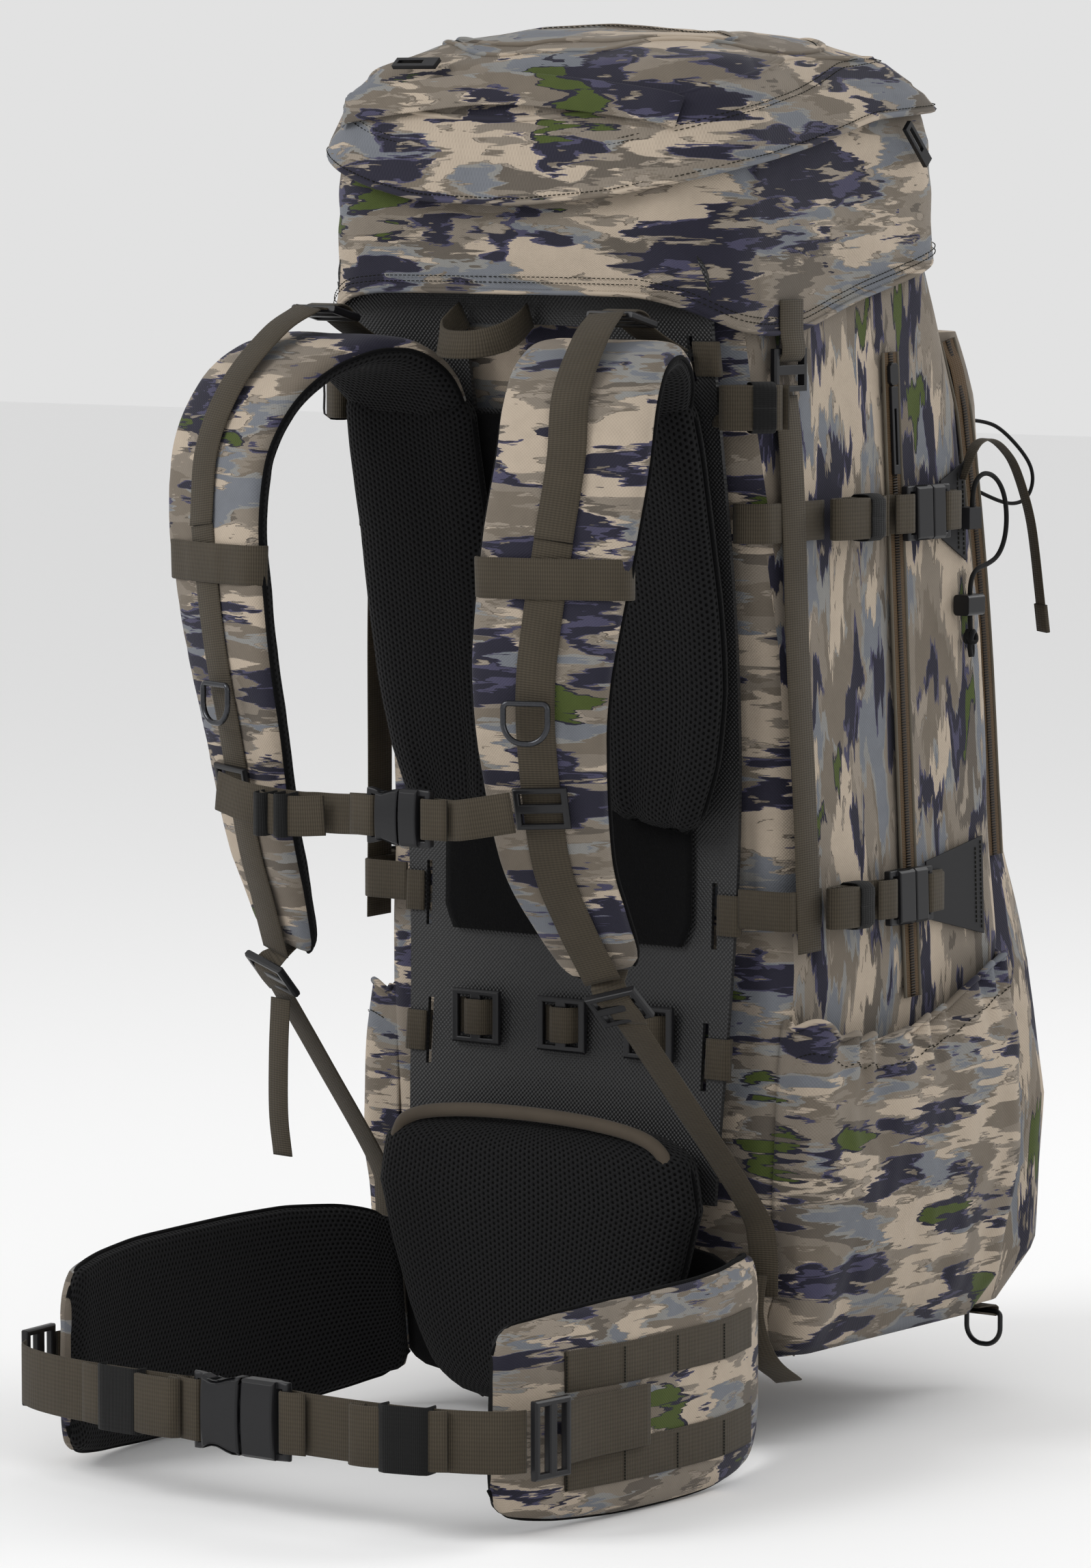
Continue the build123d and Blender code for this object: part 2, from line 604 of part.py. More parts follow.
def compression(name, z, mouth_y, roll, patch_y, start):
    """One strap, from the frame to its buckle and sewn patch.  The rolled spare webbing goes with the socket."""
    up = tuple(side_plane(0, z, 0).x_dir.cross(side_plane(0, z, 0).z_dir) * -1)
    plane = side_plane(mouth_y, z, SIDE_LIFT)
    static = start + side_points([(roll[0] - 14, STRAP_LIFT), (roll[0] + 6, STRAP_LIFT)], z)
    put("compression_straps", *both(band(static, WEB, WEB_T, across=(0, 0, 1))))
    bundle = side_points([(roll[0], 8.6), (sum(roll) / 2, 9.4), (roll[1], 8.6)], z)
    bundle = band(bundle, WEB + 3, 8.5, across=up, bevel=3)
    lead = [(mouth_y - SIDE.socket_len - 42, STRAP_LIFT), (mouth_y - SIDE.socket_len - 18, STRAP_LIFT)]
    lead = side_points(lead, z)
    lead += world_points(plane, SIDE.hook(SIDE.socket_len, -1)[2:])
    for solid in (plane * SIDE.socket(), band(lead, WEB, WEB_T, across=up), bundle):
        put(name + "_socket_right", solid)
        put(name + "_socket_left", mirror(solid, about=Plane.YZ))
    put("compression_males", *both(plane * SIDE.male_with_levers()))
    tail = world_points(plane, SIDE.hook(SIDE.male_len, 1)[:1:-1])
    tail += side_points([(patch_y[0] + 4, 2.6), (patch_y[0] + 16, 2.6)], z)
    put("compression_straps", *both(band(tail, WEB, WEB_T, across=up)))
    base = side_plane(0, z, 0.4)
    low, high = patch_y
    shape = make_face(Polyline((low, -6 - WEB / 2), (high, -34), (high, 30), (low, 6 + WEB / 2), close=True))
    put("compression_patches", *both(base * extrude(shape, 1.2)))


def make_compression():
    high_start = [(142.5, -159.5, 533), (151, -159, 533), (160.5, -152, 533), (162.9, -141, 533)]
    compression("upper", 533, 16, (-96, -30), (46, 74), high_start)
    low_start = [(132.5, -139, 289), (142, -138.5, 289), (165, -138, 289), (170.4, -132.5, 289)]
    compression("lower", 289, -13, (-108, -57), (20, 86), low_start)


def make_side_straps():
    """Long straps down the rear corners, below the lid's locks, and a rolled strap by the frame."""
    up = (0, 1, 0)
    line = [tuple(side_plane(y, z, 1.3).origin) for y, z in ((-126, 609), (-125, 450), (-118, 262))]
    put("side_straps", *both(band(line, WEB, WEB_T, across=up)))
    roll = [(149, -181, 606), (158, -176, 606), (164.5, -165, 606), (167, -150, 606)]
    put("side_straps", *both(band(roll, WEB + 2, 9, across=(0, 0, 1), bevel=3)))


def make_lid_locks():
    tab_low = side_plane(-127, 628, 5.0)
    lock = Plane(origin=tab_low.origin, x_dir=(0, 0, 1), z_dir=(1, 0, 0)) * ladder_lock(WEB)
    put("lid_locks", *both(lock))
    tab = [(163.3, -127, 672), (163.5, -127, 652), (165.1, -127, 643), (165.0, -127, 638), (161.4, -127, 633.6)]
    put("lid_tabs", *both(band(tab, WEB, WEB_T, across=(0, 1, 0))))


# ---------------------------------------------------------------- zips
ZIP_TOP_Z, ZIP_LOW_Z = 634.0, 250.0
ZIP_TOP_Y, ZIP_LOW_Y = -9.0, 1.0


def zip_y(z):
    return ZIP_LOW_Y + (z - ZIP_LOW_Z) * (ZIP_TOP_Y - ZIP_LOW_Y) / (ZIP_TOP_Z - ZIP_LOW_Z)


def make_zips():
    line = [tuple(side_plane(zip_y(z), z, 1.0).origin) for z in (ZIP_TOP_Z, 450, ZIP_LOW_Z)]
    put("zip_tracks", *both(band(line, 9, 1.2, across=(0, 1, 0))))
    slider_z = 622.0
    top = side_plane(zip_y(slider_z), slider_z, 3.1)
    low = side_plane(zip_y(slider_z - 80), slider_z - 80, 3.1)
    along = (top.origin - low.origin).normalized()
    plane = Plane(origin=top.origin, x_dir=along, z_dir=top.z_dir)
    body = Box(14, 9, 2.4)
    pull = Pos(-36, 0, 0) * (Box(56, 7, 2.0) - Pos(-4, 0, 0) * Box(36, 2.6, 4))
    slider = plane * (chamfer(body.edges().filter_by(Axis.Z), 2) + pull)
    put("side_zip_slider_right", slider)
    put("side_zip_slider_left", mirror(slider, about=Plane.YZ))
    print("zip slide axis", [round(v, 5) for v in along])
    pocket = [(table_value(POCKET, z, 1) + 1.1, y, z) for z, y in ((640, 112), (600, 120), (460, 134), (300, 140))]
    put("zip_tracks", *both(band(pocket, 9, 1.2, across=(0, 1, 0))))


LID_PULLS = {"left": ((-76, -200, 819), (-50, 0, 0)), "right": ((166, 8, 768), (-45, 0, 90))}


def make_lid_pulls():
    """Cord pulls that hang from the ends of the lid's zip."""
    for name, (at, turn) in LID_PULLS.items():
        pull = Box(34, 3, 8) - Pos(-4, 0, 0) * Box(20, 5, 3.4)
        put("lid_pull_" + name, Pos(*at) * Rot(*turn) * pull)


# ---------------------------------------------------------------- base
BASE_RING_REAR = (112, -126, -6.6)
BASE_RING_FRONT = (128, 151, -7.5)


def make_base():
    rear = [(112, -131.8, 26), (112, -130.8, 2), (112, -128, -3), (112, -121, -3.2), (112, 96, -3.2),
            (112, 140, -1.2)]
    put("side_straps", *both(band(rear, WEB, WEB_T)))
    for name, at in (("rear", BASE_RING_REAR), ("front", BASE_RING_FRONT)):
        put("base_rings_" + name, *both(Pos(*at) * d_ring(30, 26, 3.4)))


# ---------------------------------------------------------------- free cords
BUNGEE_D = 3.2
BUNGEE = [
    (168, 71, 534), (168, 71, 547), (168.5, 81, 556), (169.5, 94, 554), (170.3, 104, 544), (170.6, 108, 529),
    (170.3, 107, 513), (169.6, 100, 501), (168.8, 88, 496), (168, 76, 494), (168, 69, 486), (168, 69, 477.5),
]
KEEPER = ((160.4, 62, 520), (172, 76, 534))
CORD_LOCK = ((161.5, 59.5, 464), (173.5, 78.5, 477.5))
KNOT_AT = (168, 70, 450)
LOOP_D = 2.6
LOOP = [
    (112, 152, 586), (116, 165, 585), (122, 177, 579), (130, 195, 560), (130, 203, 546), (128, 199, 533),
    (125, 187, 529), (120, 173, 532), (113, 160, 539),
]
TAIL_W = 10.0
TAIL = [
    (161.4, 68, 552), (164, 73, 565), (161, 85, 574), (158, 100, 577), (156, 115, 575), (154, 129, 569),
    (153, 142, 560), (152, 154, 544),
    (152, 165, 522), (152, 171, 498), (152, 176, 473), (152, 181, 449),
]


def cord_path(points, name):
    """Straight runs joined by the largest tangent arcs that they allow."""
    route = [Vector(*p) for p in points]
    radii = []
    for a, b, c in zip(route, route[1:], route[2:]):
        turn = math.radians((b - a).get_angle(c - b))
        radii.append(0.45 * min((b - a).length, (c - b).length) / math.tan(turn / 2))
    path = FilletPolyline(*points, radius=radii)
    print(name, "length", round(path.length, 1), "radii", [round(r, 1) for r in radii])
    return path


def cord_tube(points, diameter, name):
    path = cord_path(points, name)
    section = Plane(origin=points[0], z_dir=path % 0) * Circle(diameter / 2)
    tube = sweep(section, path=path)
    print(name, "volume ratio", round(tube.volume / (math.pi * diameter**2 / 4 * path.length), 4))
    return tube


def make_cords():
    """Shock cord with its keeper, lock and knot, a cord loop and the tail of a narrow strap."""
    put("compression_patches", block(*KEEPER))
    put("cord_lock", fillet(block(*CORD_LOCK).edges().filter_by(Axis.Y), 2.5))
    x, y, z = KNOT_AT
    lead = Pos(x, y, (z + CORD_LOCK[0][2]) / 2) * Cylinder(BUNGEE_D / 2, CORD_LOCK[0][2] - z)
    ends = Pos(x, y + 2, z - 7) * Rot(-14, 0, 0) * Cylinder(BUNGEE_D / 2, 14)
    put("bungee_knot", lead + Pos(x, y, z) * Sphere(4.4) + ends)
    put("bungee_cord", cord_tube(BUNGEE, BUNGEE_D, "bungee_cord"))
    put("loop_cord", cord_tube(LOOP, LOOP_D, "loop_cord"))
    put("tail_webbing", cord_tube(TAIL, 3.0, "tail_webbing"))


# ---------------------------------------------------------------- run
def write_nodes():
    os.makedirs("parts", exist_ok=True)
    for name, solids in nodes.items():
        export_step(Compound(children=list(solids)), f"parts/{name}.step")
    print(len(nodes), "nodes")


make_frame()
make_tri_glides()
make_tabs()
make_bag()
make_front_pocket()
make_side_pockets()
make_lid()
make_shoulders()
make_load_lifters()
make_d_rings()
make_back_pads()
make_lumbar()
make_haul_loop()
make_sternum()
make_belt()
make_compression()
make_side_straps()
make_lid_locks()
make_zips()
make_lid_pulls()
make_base()
make_cords()
write_nodes()
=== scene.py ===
"""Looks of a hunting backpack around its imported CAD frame.

Lengths in the tables are millimetres in the frame's axes: +Z up, harness towards -Y.
Meshes are built in metres.
"""
import math

import bmesh
import bpy
from mathutils.bvhtree import BVHTree
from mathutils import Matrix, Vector, noise

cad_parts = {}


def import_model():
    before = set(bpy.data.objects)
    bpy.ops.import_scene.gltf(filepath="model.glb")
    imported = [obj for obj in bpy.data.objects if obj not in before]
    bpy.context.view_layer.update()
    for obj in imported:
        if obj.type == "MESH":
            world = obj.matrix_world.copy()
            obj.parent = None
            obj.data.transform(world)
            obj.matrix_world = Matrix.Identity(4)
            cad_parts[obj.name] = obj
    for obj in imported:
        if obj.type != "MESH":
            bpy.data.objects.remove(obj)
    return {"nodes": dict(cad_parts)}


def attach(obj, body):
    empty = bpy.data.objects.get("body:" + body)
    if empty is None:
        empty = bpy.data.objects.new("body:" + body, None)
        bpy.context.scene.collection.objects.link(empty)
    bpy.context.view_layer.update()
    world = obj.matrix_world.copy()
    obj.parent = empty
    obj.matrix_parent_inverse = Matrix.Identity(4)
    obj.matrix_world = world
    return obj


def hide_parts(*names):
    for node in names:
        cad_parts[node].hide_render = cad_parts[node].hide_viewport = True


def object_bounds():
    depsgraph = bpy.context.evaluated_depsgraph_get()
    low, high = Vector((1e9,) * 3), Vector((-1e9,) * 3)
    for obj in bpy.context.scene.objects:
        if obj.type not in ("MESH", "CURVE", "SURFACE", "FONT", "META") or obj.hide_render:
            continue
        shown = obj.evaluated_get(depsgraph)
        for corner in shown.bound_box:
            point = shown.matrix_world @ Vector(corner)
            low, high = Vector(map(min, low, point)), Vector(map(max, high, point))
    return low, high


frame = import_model()
CAD_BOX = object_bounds()

MM = 0.001
# Widths of the straps' and the belt's webbing, and the webbing's thickness
WEB, BELT_WEB, WEB_T = 25, 38, 1.4
ACROSS_X, ACROSS_Y, UP = (1, 0, 0), (0, 1, 0), (0, 0, 1)
SIDES = ((1, "right"), (-1, "left"))
# Rounding of a tape's edges, and the spacing of rows along a strap
EDGE_ROUND, STRAP_STEP = 0.7, 3.5
# Steps round a rounded outline: a corner, half of the rear side, and each other side
CORNER_STEPS, END_STEPS, SIDE_STEPS = 8, 18, 34


# ---------------------------------------------------------------- node materials
def srgb(text):
    """Linear colour from a hexadecimal sRGB triple."""
    parts = [int(text[i:i + 2], 16) / 255 for i in (0, 2, 4)]
    return tuple(c / 12.92 if c < 0.04045 else ((c + 0.055) / 1.055) ** 2.4 for c in parts) + (1,)


class Nodes:
    """A material's node tree, built with sockets and plain values alike."""

    def __init__(self, name, roughness, metallic=0, sheen=0, gloss=0.5):
        self.material = bpy.data.materials.new(name)
        self.material.use_nodes = True
        self.tree = self.material.node_tree
        self.shader = self.tree.nodes["Principled BSDF"]
        self.shader.inputs["Roughness"].default_value = roughness
        self.shader.inputs["Metallic"].default_value = metallic
        self.shader.inputs["Specular IOR Level"].default_value = gloss
        self.shader.inputs["Sheen Weight"].default_value = sheen
        self.shader.inputs["Sheen Roughness"].default_value = 0.5

    def add(self, kind, values=None, **settings):
        node = self.tree.nodes.new("ShaderNode" + kind)
        for key, value in settings.items():
            setattr(node, key, value)
        for key, value in (values or {}).items():
            self.put(node.inputs[key], value)
        return node

    def put(self, socket, value):
        if isinstance(value, bpy.types.NodeSocket):
            self.tree.links.new(value, socket)
        else:
            socket.default_value = value

    def math(self, operation, a, b=0):
        return self.add("Math", {0: a, 1: b}, operation=operation).outputs[0]

    def mix(self, share, a, b):
        node = self.add("Mix", {0: share, 6: a, 7: b}, data_type="RGBA")
        return node.outputs[2]

    def scaled(self, vector, factors, offset=(0, 0, 0)):
        return self.add("Mapping", {"Vector": vector, "Scale": factors, "Location": offset}).outputs[0]

    def noise(self, vector, scale, detail=4, roughness=0.55):
        values = {"Vector": vector, "Scale": scale, "Detail": detail, "Roughness": roughness}
        return self.add("TexNoise", values).outputs[0]

    def place(self):
        return self.add("TexCoord").outputs["Object"]

    def uv(self):
        parts = self.add("SeparateXYZ", {0: self.add("UVMap", uv_map="cloth").outputs[0]})
        return parts.outputs[0], parts.outputs[1]

    def wave(self, value, pitch):
        """Sine of a length in metres with a pitch in millimetres."""
        return self.math("SINE", self.math("MULTIPLY", value, 2 * math.pi / (pitch * MM)))

    def shade(self, colour, share, height, strength, distance):
        """Darkens colour by share where height is low, which paints shade into the bump's hollows, and bumps
        the surface.
        """
        # Painted shade: colour times (1 - share + share * height), darker in the bump's low places
        tone = self.math("MULTIPLY_ADD", height, share)
        self.put(tone.node.inputs[2], 1 - share)
        hollow_shade = self.add("CombineColor", {0: tone, 1: tone, 2: tone}).outputs[0]
        product = self.add("Mix", {0: 1, 6: colour, 7: hollow_shade}, data_type="RGBA", blend_type="MULTIPLY")
        self.put(self.shader.inputs["Base Color"], product.outputs[2])
        values = {"Height": height, "Strength": strength, "Distance": distance * MM}
        self.put(self.shader.inputs["Normal"], self.add("Bump", values).outputs[0])
        return self.material


TAUPE, TAUPE_LIGHT, TAUPE_DARK = srgb("70675c"), srgb("7f766b"), srgb("5f5850")
TAN, TAN_GREY = srgb("b1a392"), srgb("8f8579")
GREY_BLUE, GREY = srgb("6f7278"), srgb("83827f")
NAVY, PURPLE, OLIVE = srgb("292834"), srgb("47455a"), srgb("465127")
# Layers of the print: noise scale and offset, then a threshold and a colour for each ink
PRINT_PATCHES = [(10, 3.1, [(0.47, TAUPE_LIGHT), (0.60, TAUPE_DARK)]),
                 (12, 11.7, [(0.545, GREY), (0.58, GREY_BLUE)]),
                 (13, 23.9, [(0.548, TAN_GREY), (0.558, TAUPE_DARK), (0.562, TAN)]),
                 (11.5, 37.3, [(0.560, PURPLE), (0.573, NAVY)])]
PRINT_SPECKS = [(30, 51.1, [(0.635, TAUPE), (0.66, TAN_GREY)]),
                (8, 67, [(0.664, NAVY), (0.678, OLIVE)])]


def toned(colour, factor):
    """A darker or lighter tone of a colour."""
    return tuple(c * factor for c in colour[:3]) + (1,)


def camo(name, upright, seed):
    """Printed pack cloth: patches with flame-like edges along the flow, over a plain weave."""
    n = Nodes(name, roughness=0.82, sheen=0.06, gloss=0.14)
    fine, flow = ((165, 165, 17), (2.6, 2.6, 1.15)) if upright else ((18, 18, 190), (1.2, 1.2, 2.9))
    shift, reach = ((0, 0, 1), 0.078) if upright else ((1, 1, 0), 0.07)
    place = n.place()
    tongues = n.noise(n.scaled(place, fine, (seed, seed, seed)), 1, 3.5, 0.6)
    broad = n.noise(n.scaled(place, fine, (seed + 7, seed, seed)), 0.36, 1, 0.5)
    pull = n.math("ADD", n.math("SUBTRACT", tongues, 0.5), n.math("SUBTRACT", broad, 0.5))
    pull = n.math("MULTIPLY", pull, reach)
    pulled = n.add("CombineXYZ", {i: n.math("MULTIPLY", pull, shift[i]) for i in range(3)}).outputs[0]
    place = n.add("VectorMath", {0: place, 1: pulled}, operation="ADD").outputs[0]
    place = n.scaled(place, flow, (seed, 1.7 * seed, 0.6 * seed))

    def layer(scale, offset):
        return n.noise(n.scaled(place, (1, 1, 1), (offset, offset, offset)), scale, 2.2, 0.42)

    def over(value, threshold):
        return n.math("GREATER_THAN", value, threshold)

    def inked(colour, layers):
        for scale, offset, inks in layers:
            field = layer(scale, offset)
            for threshold, ink in inks:
                colour = n.mix(over(field, threshold), colour, ink)
        return colour, field

    colour, dark = inked(TAUPE, PRINT_PATCHES)
    inside = n.math("MULTIPLY", over(layer(24, 44), 0.60), over(dark, 0.6))
    colour, _ = inked(n.mix(inside, colour, PURPLE), PRINT_SPECKS)
    u, v = n.uv()
    weave = n.math("MULTIPLY", n.wave(u, 2.1), n.wave(v, 2.1))
    soft = n.noise(n.place(), 90, 3)
    height = n.math("ADD", n.math("MULTIPLY", weave, 0.35), soft)
    return n.shade(colour, 0.2, height, 0.6, 0.5)


def webbing(name, colour, pitch=1.5):
    """Ribbed tape: cross ribs with faint lengthwise yarns."""
    n = Nodes(name, roughness=0.75, sheen=0.05, gloss=0.18)
    u, v = n.uv()
    rib = n.math("ABSOLUTE", n.wave(u, 2 * pitch))
    yarn = n.math("MULTIPLY", n.wave(v, 2.6), 0.25)
    tint = n.mix(n.noise(n.place(), 55), toned(colour, 0.82), toned(colour, 1.15))
    return n.shade(tint, 0.34, n.math("ADD", rib, yarn), 0.8, 0.35)


def mesh_cloth(name, pitch=3.3):
    """Black spacer mesh with staggered round holes; the holes are painted near black as the shade inside
    them.
    """
    n = Nodes(name, roughness=0.9, sheen=0.03, gloss=0.08)
    u, v = n.uv()
    waves = []
    for a, b in ((1, 0), (0.5, 0.866), (0.5, -0.866)):
        along = n.math("ADD", n.math("MULTIPLY", u, a), n.math("MULTIPLY", v, b))
        waves.append(n.math("COSINE", n.math("MULTIPLY", along, 2 * math.pi / (pitch * MM))))
    lattice = n.math("ADD", n.math("ADD", waves[0], waves[1]), waves[2])
    # Painted shade: the holes' mask, coloured near black for the shade inside each hole
    hole_shade = n.math("GREATER_THAN", lattice, 1)
    colour = n.mix(hole_shade, srgb("212122"), srgb("020202"))
    return n.shade(colour, 0.2, n.math("MULTIPLY", lattice, -0.3), 0.9, 0.9)


def plastic(name, colour, roughness, grain, metallic=0):
    """Moulded part: softened edges and a fine grain."""
    n = Nodes(name, roughness=roughness, metallic=metallic, gloss=0.3)
    speck = n.noise(n.place(), grain, 2)
    n.shade(n.mix(speck, colour, toned(colour, 1.5)), 0.1, speck, 0.12, 0.15)
    edge = n.add("Bevel", {"Radius": 0.7 * MM}, samples=4)
    bump = n.shader.inputs["Normal"].links[0].from_node
    n.put(bump.inputs["Normal"], edge.outputs[0])
    return n.material


def sheet_polymer(name):
    """Frame sheet: satin polymer with a fine woven grain."""
    n = Nodes(name, roughness=0.46, gloss=0.35)
    parts = n.add("SeparateXYZ", {0: n.place()})
    weave = n.math("MULTIPLY", n.wave(parts.outputs[0], 3), n.wave(parts.outputs[2], 3))
    return n.shade(srgb("2b2b2c"), 0.25, weave, 0.8, 0.35)


def fuzz(name, colour, scale):
    """Matt pile, trim or thread with a fine random grain."""
    n = Nodes(name, roughness=0.95, sheen=0.03, gloss=0.05)
    return n.shade(colour, 0.6, n.noise(n.place(), scale, 4, 0.7), 1, 0.8)


def coil_zip(name):
    """Zip coil: fine teeth across a brown tape."""
    n = Nodes(name, roughness=0.6, gloss=0.25)
    return n.shade(srgb("3c2e1e"), 0.5, n.wave(n.uv()[0], 1.8), 0.9, 0.5)


CAMO = camo("camo_level", False, 0.4)
CAMO_UPRIGHT = camo("camo_upright", True, 2.2)
WEBBING = webbing("webbing", srgb("443d32"))
ELASTIC = webbing("elastic", srgb("121212"), 1.2)
BINDING = webbing("binding", srgb("5d5347"), 2.4)
HEM = webbing("hem", srgb("6b6458"), 1.8)
MESH = mesh_cloth("spacer_mesh")
TRIM = fuzz("black_trim", srgb("111112"), 900)
PILE = fuzz("loop_pile", srgb("131314"), 700)
PLASTIC = plastic("moulded_black", srgb("141416"), 0.36, 1500)
RUBBER = plastic("rubberised_patch", srgb("161618"), 0.6, 2500)
STEEL = plastic("ring_metal", srgb("3a3b3e"), 0.22, 800, metallic=0.9)
ALLOY = plastic("stay_alloy", srgb("8a8b8e"), 0.35, 700, metallic=1)
POLYMER = sheet_polymer("frame_polymer")
THREAD = fuzz("thread", srgb("26261f"), 3000)
CORD = webbing("cord_sheath", srgb("121212"), 1)
TAPE = webbing("zip_tape", srgb("54422d"), 1.1)
COIL = coil_zip("zip_coil")


# ---------------------------------------------------------------- mesh helpers
def link(name, data):
    """A new object in the scene."""
    obj = bpy.data.objects.new(name, data)
    bpy.context.scene.collection.objects.link(obj)
    return obj


def piece(name, data, body="pack", material=None, replaces=()):
    """Links mesh or curve data as a piece that rides on a body."""
    obj = link(name, data)
    if material:
        data.materials.append(material)
    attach(obj, body)
    if replaces:
        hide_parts(*replaces)
    return obj


def grid_faces(rows, count, columns):
    """Four-sided faces between rows of count points each."""
    faces = []
    for r in range(rows - 1):
        for c in range(columns):
            d = (c + 1) % count
            faces.append((r * count + c, r * count + d, (r + 1) * count + d, (r + 1) * count + c))
    return faces


def grid_data(name, rows, closed, caps=(False, False)):
    """Mesh from rows of points in millimetres, with a UV map of real lengths in metres."""
    count = len(rows[0])
    columns = count if closed else count - 1
    verts = [Vector(p) * MM for row in rows for p in row]
    faces = grid_faces(len(rows), count, columns)
    for at_end, wanted in enumerate(caps):
        if wanted:
            first = (len(rows) - 1) * count if at_end else 0
            loop = list(range(first, first + count))
            faces.append(tuple(loop if at_end else loop[::-1]))
    data = bpy.data.meshes.new(name)
    data.from_pydata(verts, [], faces)
    middle = rows[len(rows) // 2]
    us = [0]
    for a, b in zip(middle, middle[1:] + middle[:1]):
        us.append(us[-1] + (Vector(b) - Vector(a)).length * MM)
    vs = [0]
    for a, b in zip(rows, rows[1:]):
        vs.append(vs[-1] + (Vector(b[count // 3]) - Vector(a[count // 3])).length * MM)
    layer = data.uv_layers.new(name="cloth")
    index = 0
    for face in faces[:(len(rows) - 1) * columns]:
        r, c = divmod(face[0], count)
        for column, row in ((c, r), (c + 1, r), (c + 1, r + 1), (c, r + 1)):
            layer.data[index].uv = (us[column], vs[row])
            index += 1
    data.polygons.foreach_set("use_smooth", [True] * len(data.polygons))
    return data


def swap_uv(data):
    """Makes u run along the rows' direction of travel, as straps need."""
    for loop in data.uv_layers["cloth"].data:
        loop.uv = (loop.uv[1], loop.uv[0])


def spline(points, step):
    """Points along a Catmull-Rom curve, with each one's place in the list as a number."""
    route = [Vector(p) for p in points]
    ends = [route[0] * 2 - route[1]] + route + [route[-1] * 2 - route[-2]]
    result = []
    for i in range(len(route) - 1):
        a, b, c, d = ends[i:i + 4]
        pieces = max(1, round((c - b).length / step))
        for k in range(pieces):
            t = k / pieces
            point = 0.5 * (2 * b + (c - a) * t + (2 * a - 5 * b + 4 * c - d) * t * t
                           + (3 * b - a - 3 * c + d) * t**3)
            result.append((point, i + t))
    result.append((route[-1], float(len(route) - 1)))
    return result


def at(values, place):
    """Value of a list, or of a single value, at a fractional place."""
    if not isinstance(values, list):
        return values
    i = min(int(place), len(values) - 2)
    a, b = values[i], values[i + 1]
    t = place - i
    if isinstance(a, (int, float)):
        return a + (b - a) * t
    return Vector(a).lerp(Vector(b), t)


def along_line(line, across):
    """Point, place, width direction and normal along a line of points or (point, place) pairs."""
    if isinstance(line[0], Vector):
        line = [(p, 0) for p in line]
    result = []
    for i, (p, place) in enumerate(line):
        ahead = line[min(i + 1, len(line) - 1)][0] - line[max(i - 1, 0)][0]
        along = ahead.normalized()
        wide = Vector(at(across, place))
        wide = (wide - along * wide.dot(along)).normalized()
        result.append((p, place, wide, along.cross(wide)))
    return result


def stations(points, across, step):
    """Point, place, width direction and normal along a smooth path."""
    return along_line(spline(points, step), across)


def lifted(points, across, lift):
    """The path's own points moved along its normals."""
    return [p + n * lift for p, place, _, n in stations(points, across, 8) if place == int(place)]


def flip(points, side):
    """Points of the right side, or the same ones mirrored for the left, where side is -1."""
    return [(side * p[0], p[1], p[2]) for p in points]


def flip_across(across, side):
    """A width direction, or a list of them, on the right side or mirrored for the left."""
    return flip(across, side) if isinstance(across, list) else flip([across], side)[0]


def mirrored(half):
    """A line across the middle from its right half: the same points mirrored, then the half."""
    return [(-p[0], *p[1:]) for p in reversed(half) if p[0]] + half


def looped(points):
    """Points of a line that ends where it starts."""
    return points + points[:1]


def tape(name, line, width, across, body="pack", material=WEBBING, thick=WEB_T, replaces=(), slot="webbing"):
    """Flat tape with rounded edges through a dense line of points, or of (point, place) pairs."""
    rows = []
    for p, place, wide, normal in along_line(line, across):
        w, t, r = at(width, place) / 2, thick / 2, EDGE_ROUND
        profile = [(w - r, -t), (w, -t * 0.3), (w, t * 0.3), (w - r, t),
                   (r - w, t), (-w, t * 0.3), (-w, -t * 0.3), (r - w, -t)]
        rows.append([p + wide * a + normal * b for a, b in profile])
    data = grid_data(name, rows, True, (True, True))
    swap_uv(data)
    return piece(name, data, body, material, replaces)


def strap(name, points, width=WEB, across=UP, body="pack", **named):
    """Flat tape on a smooth curve through its points."""
    return tape(name, spline(points, STRAP_STEP), width, across, body, **named)


def straps(name, points, width=WEB, across=UP, body="pack", **named):
    """A strap on each side of the pack; SIDE in the body's name stands for the side."""
    for side, word in SIDES:
        place = body.replace("SIDE", word)
        strap(f"{name}_{word}", flip(points, side), width, flip_across(across, side), place, **named)


def nurbs(name, points):
    """Curve data of one open, smooth spline with these control points, in millimetres."""
    curve = bpy.data.curves.new(name, "CURVE")
    curve.dimensions = "3D"
    line = curve.splines.new("NURBS")
    line.points.add(len(points) - 1)
    for target, p in zip(line.points, points):
        target.co = (p[0] * MM, p[1] * MM, p[2] * MM, 1)
    line.order_u = 3
    line.use_endpoint_u = True
    line.resolution_u = 8
    return curve


def spline_points(points):
    """Points in millimetres along the smooth spline with these control points."""
    holder = bpy.data.objects.new("route", nurbs("route", points))
    mesh = bpy.data.meshes.new_from_object(holder)
    result = [v.co / MM for v in mesh.vertices]
    bpy.data.meshes.remove(mesh)
    bpy.data.objects.remove(holder)
    return result


def tube(name, points, radius, body, material, replaces=()):
    """Round piping or cord on a smooth spline."""
    curve = nurbs(name, points)
    curve.bevel_depth = radius * MM
    curve.bevel_resolution = 3
    curve.use_fill_caps = True
    return piece(name, curve, body, material, replaces)


def rounded(shape, radius):
    """Rounds the long outer edges of a moulding."""
    bmesh.ops.dissolve_limit(shape, angle_limit=math.radians(2), verts=shape.verts, edges=shape.edges)
    edges = [e for e in shape.edges if len(e.link_faces) == 2 and e.is_convex
             and e.calc_face_angle() > math.radians(60) and e.calc_length() > 3.2 * radius * MM]
    bmesh.ops.bevel(shape, geom=edges, offset=radius * MM, segments=2, profile=0.5, affect="EDGES",
                    clamp_overlap=False)


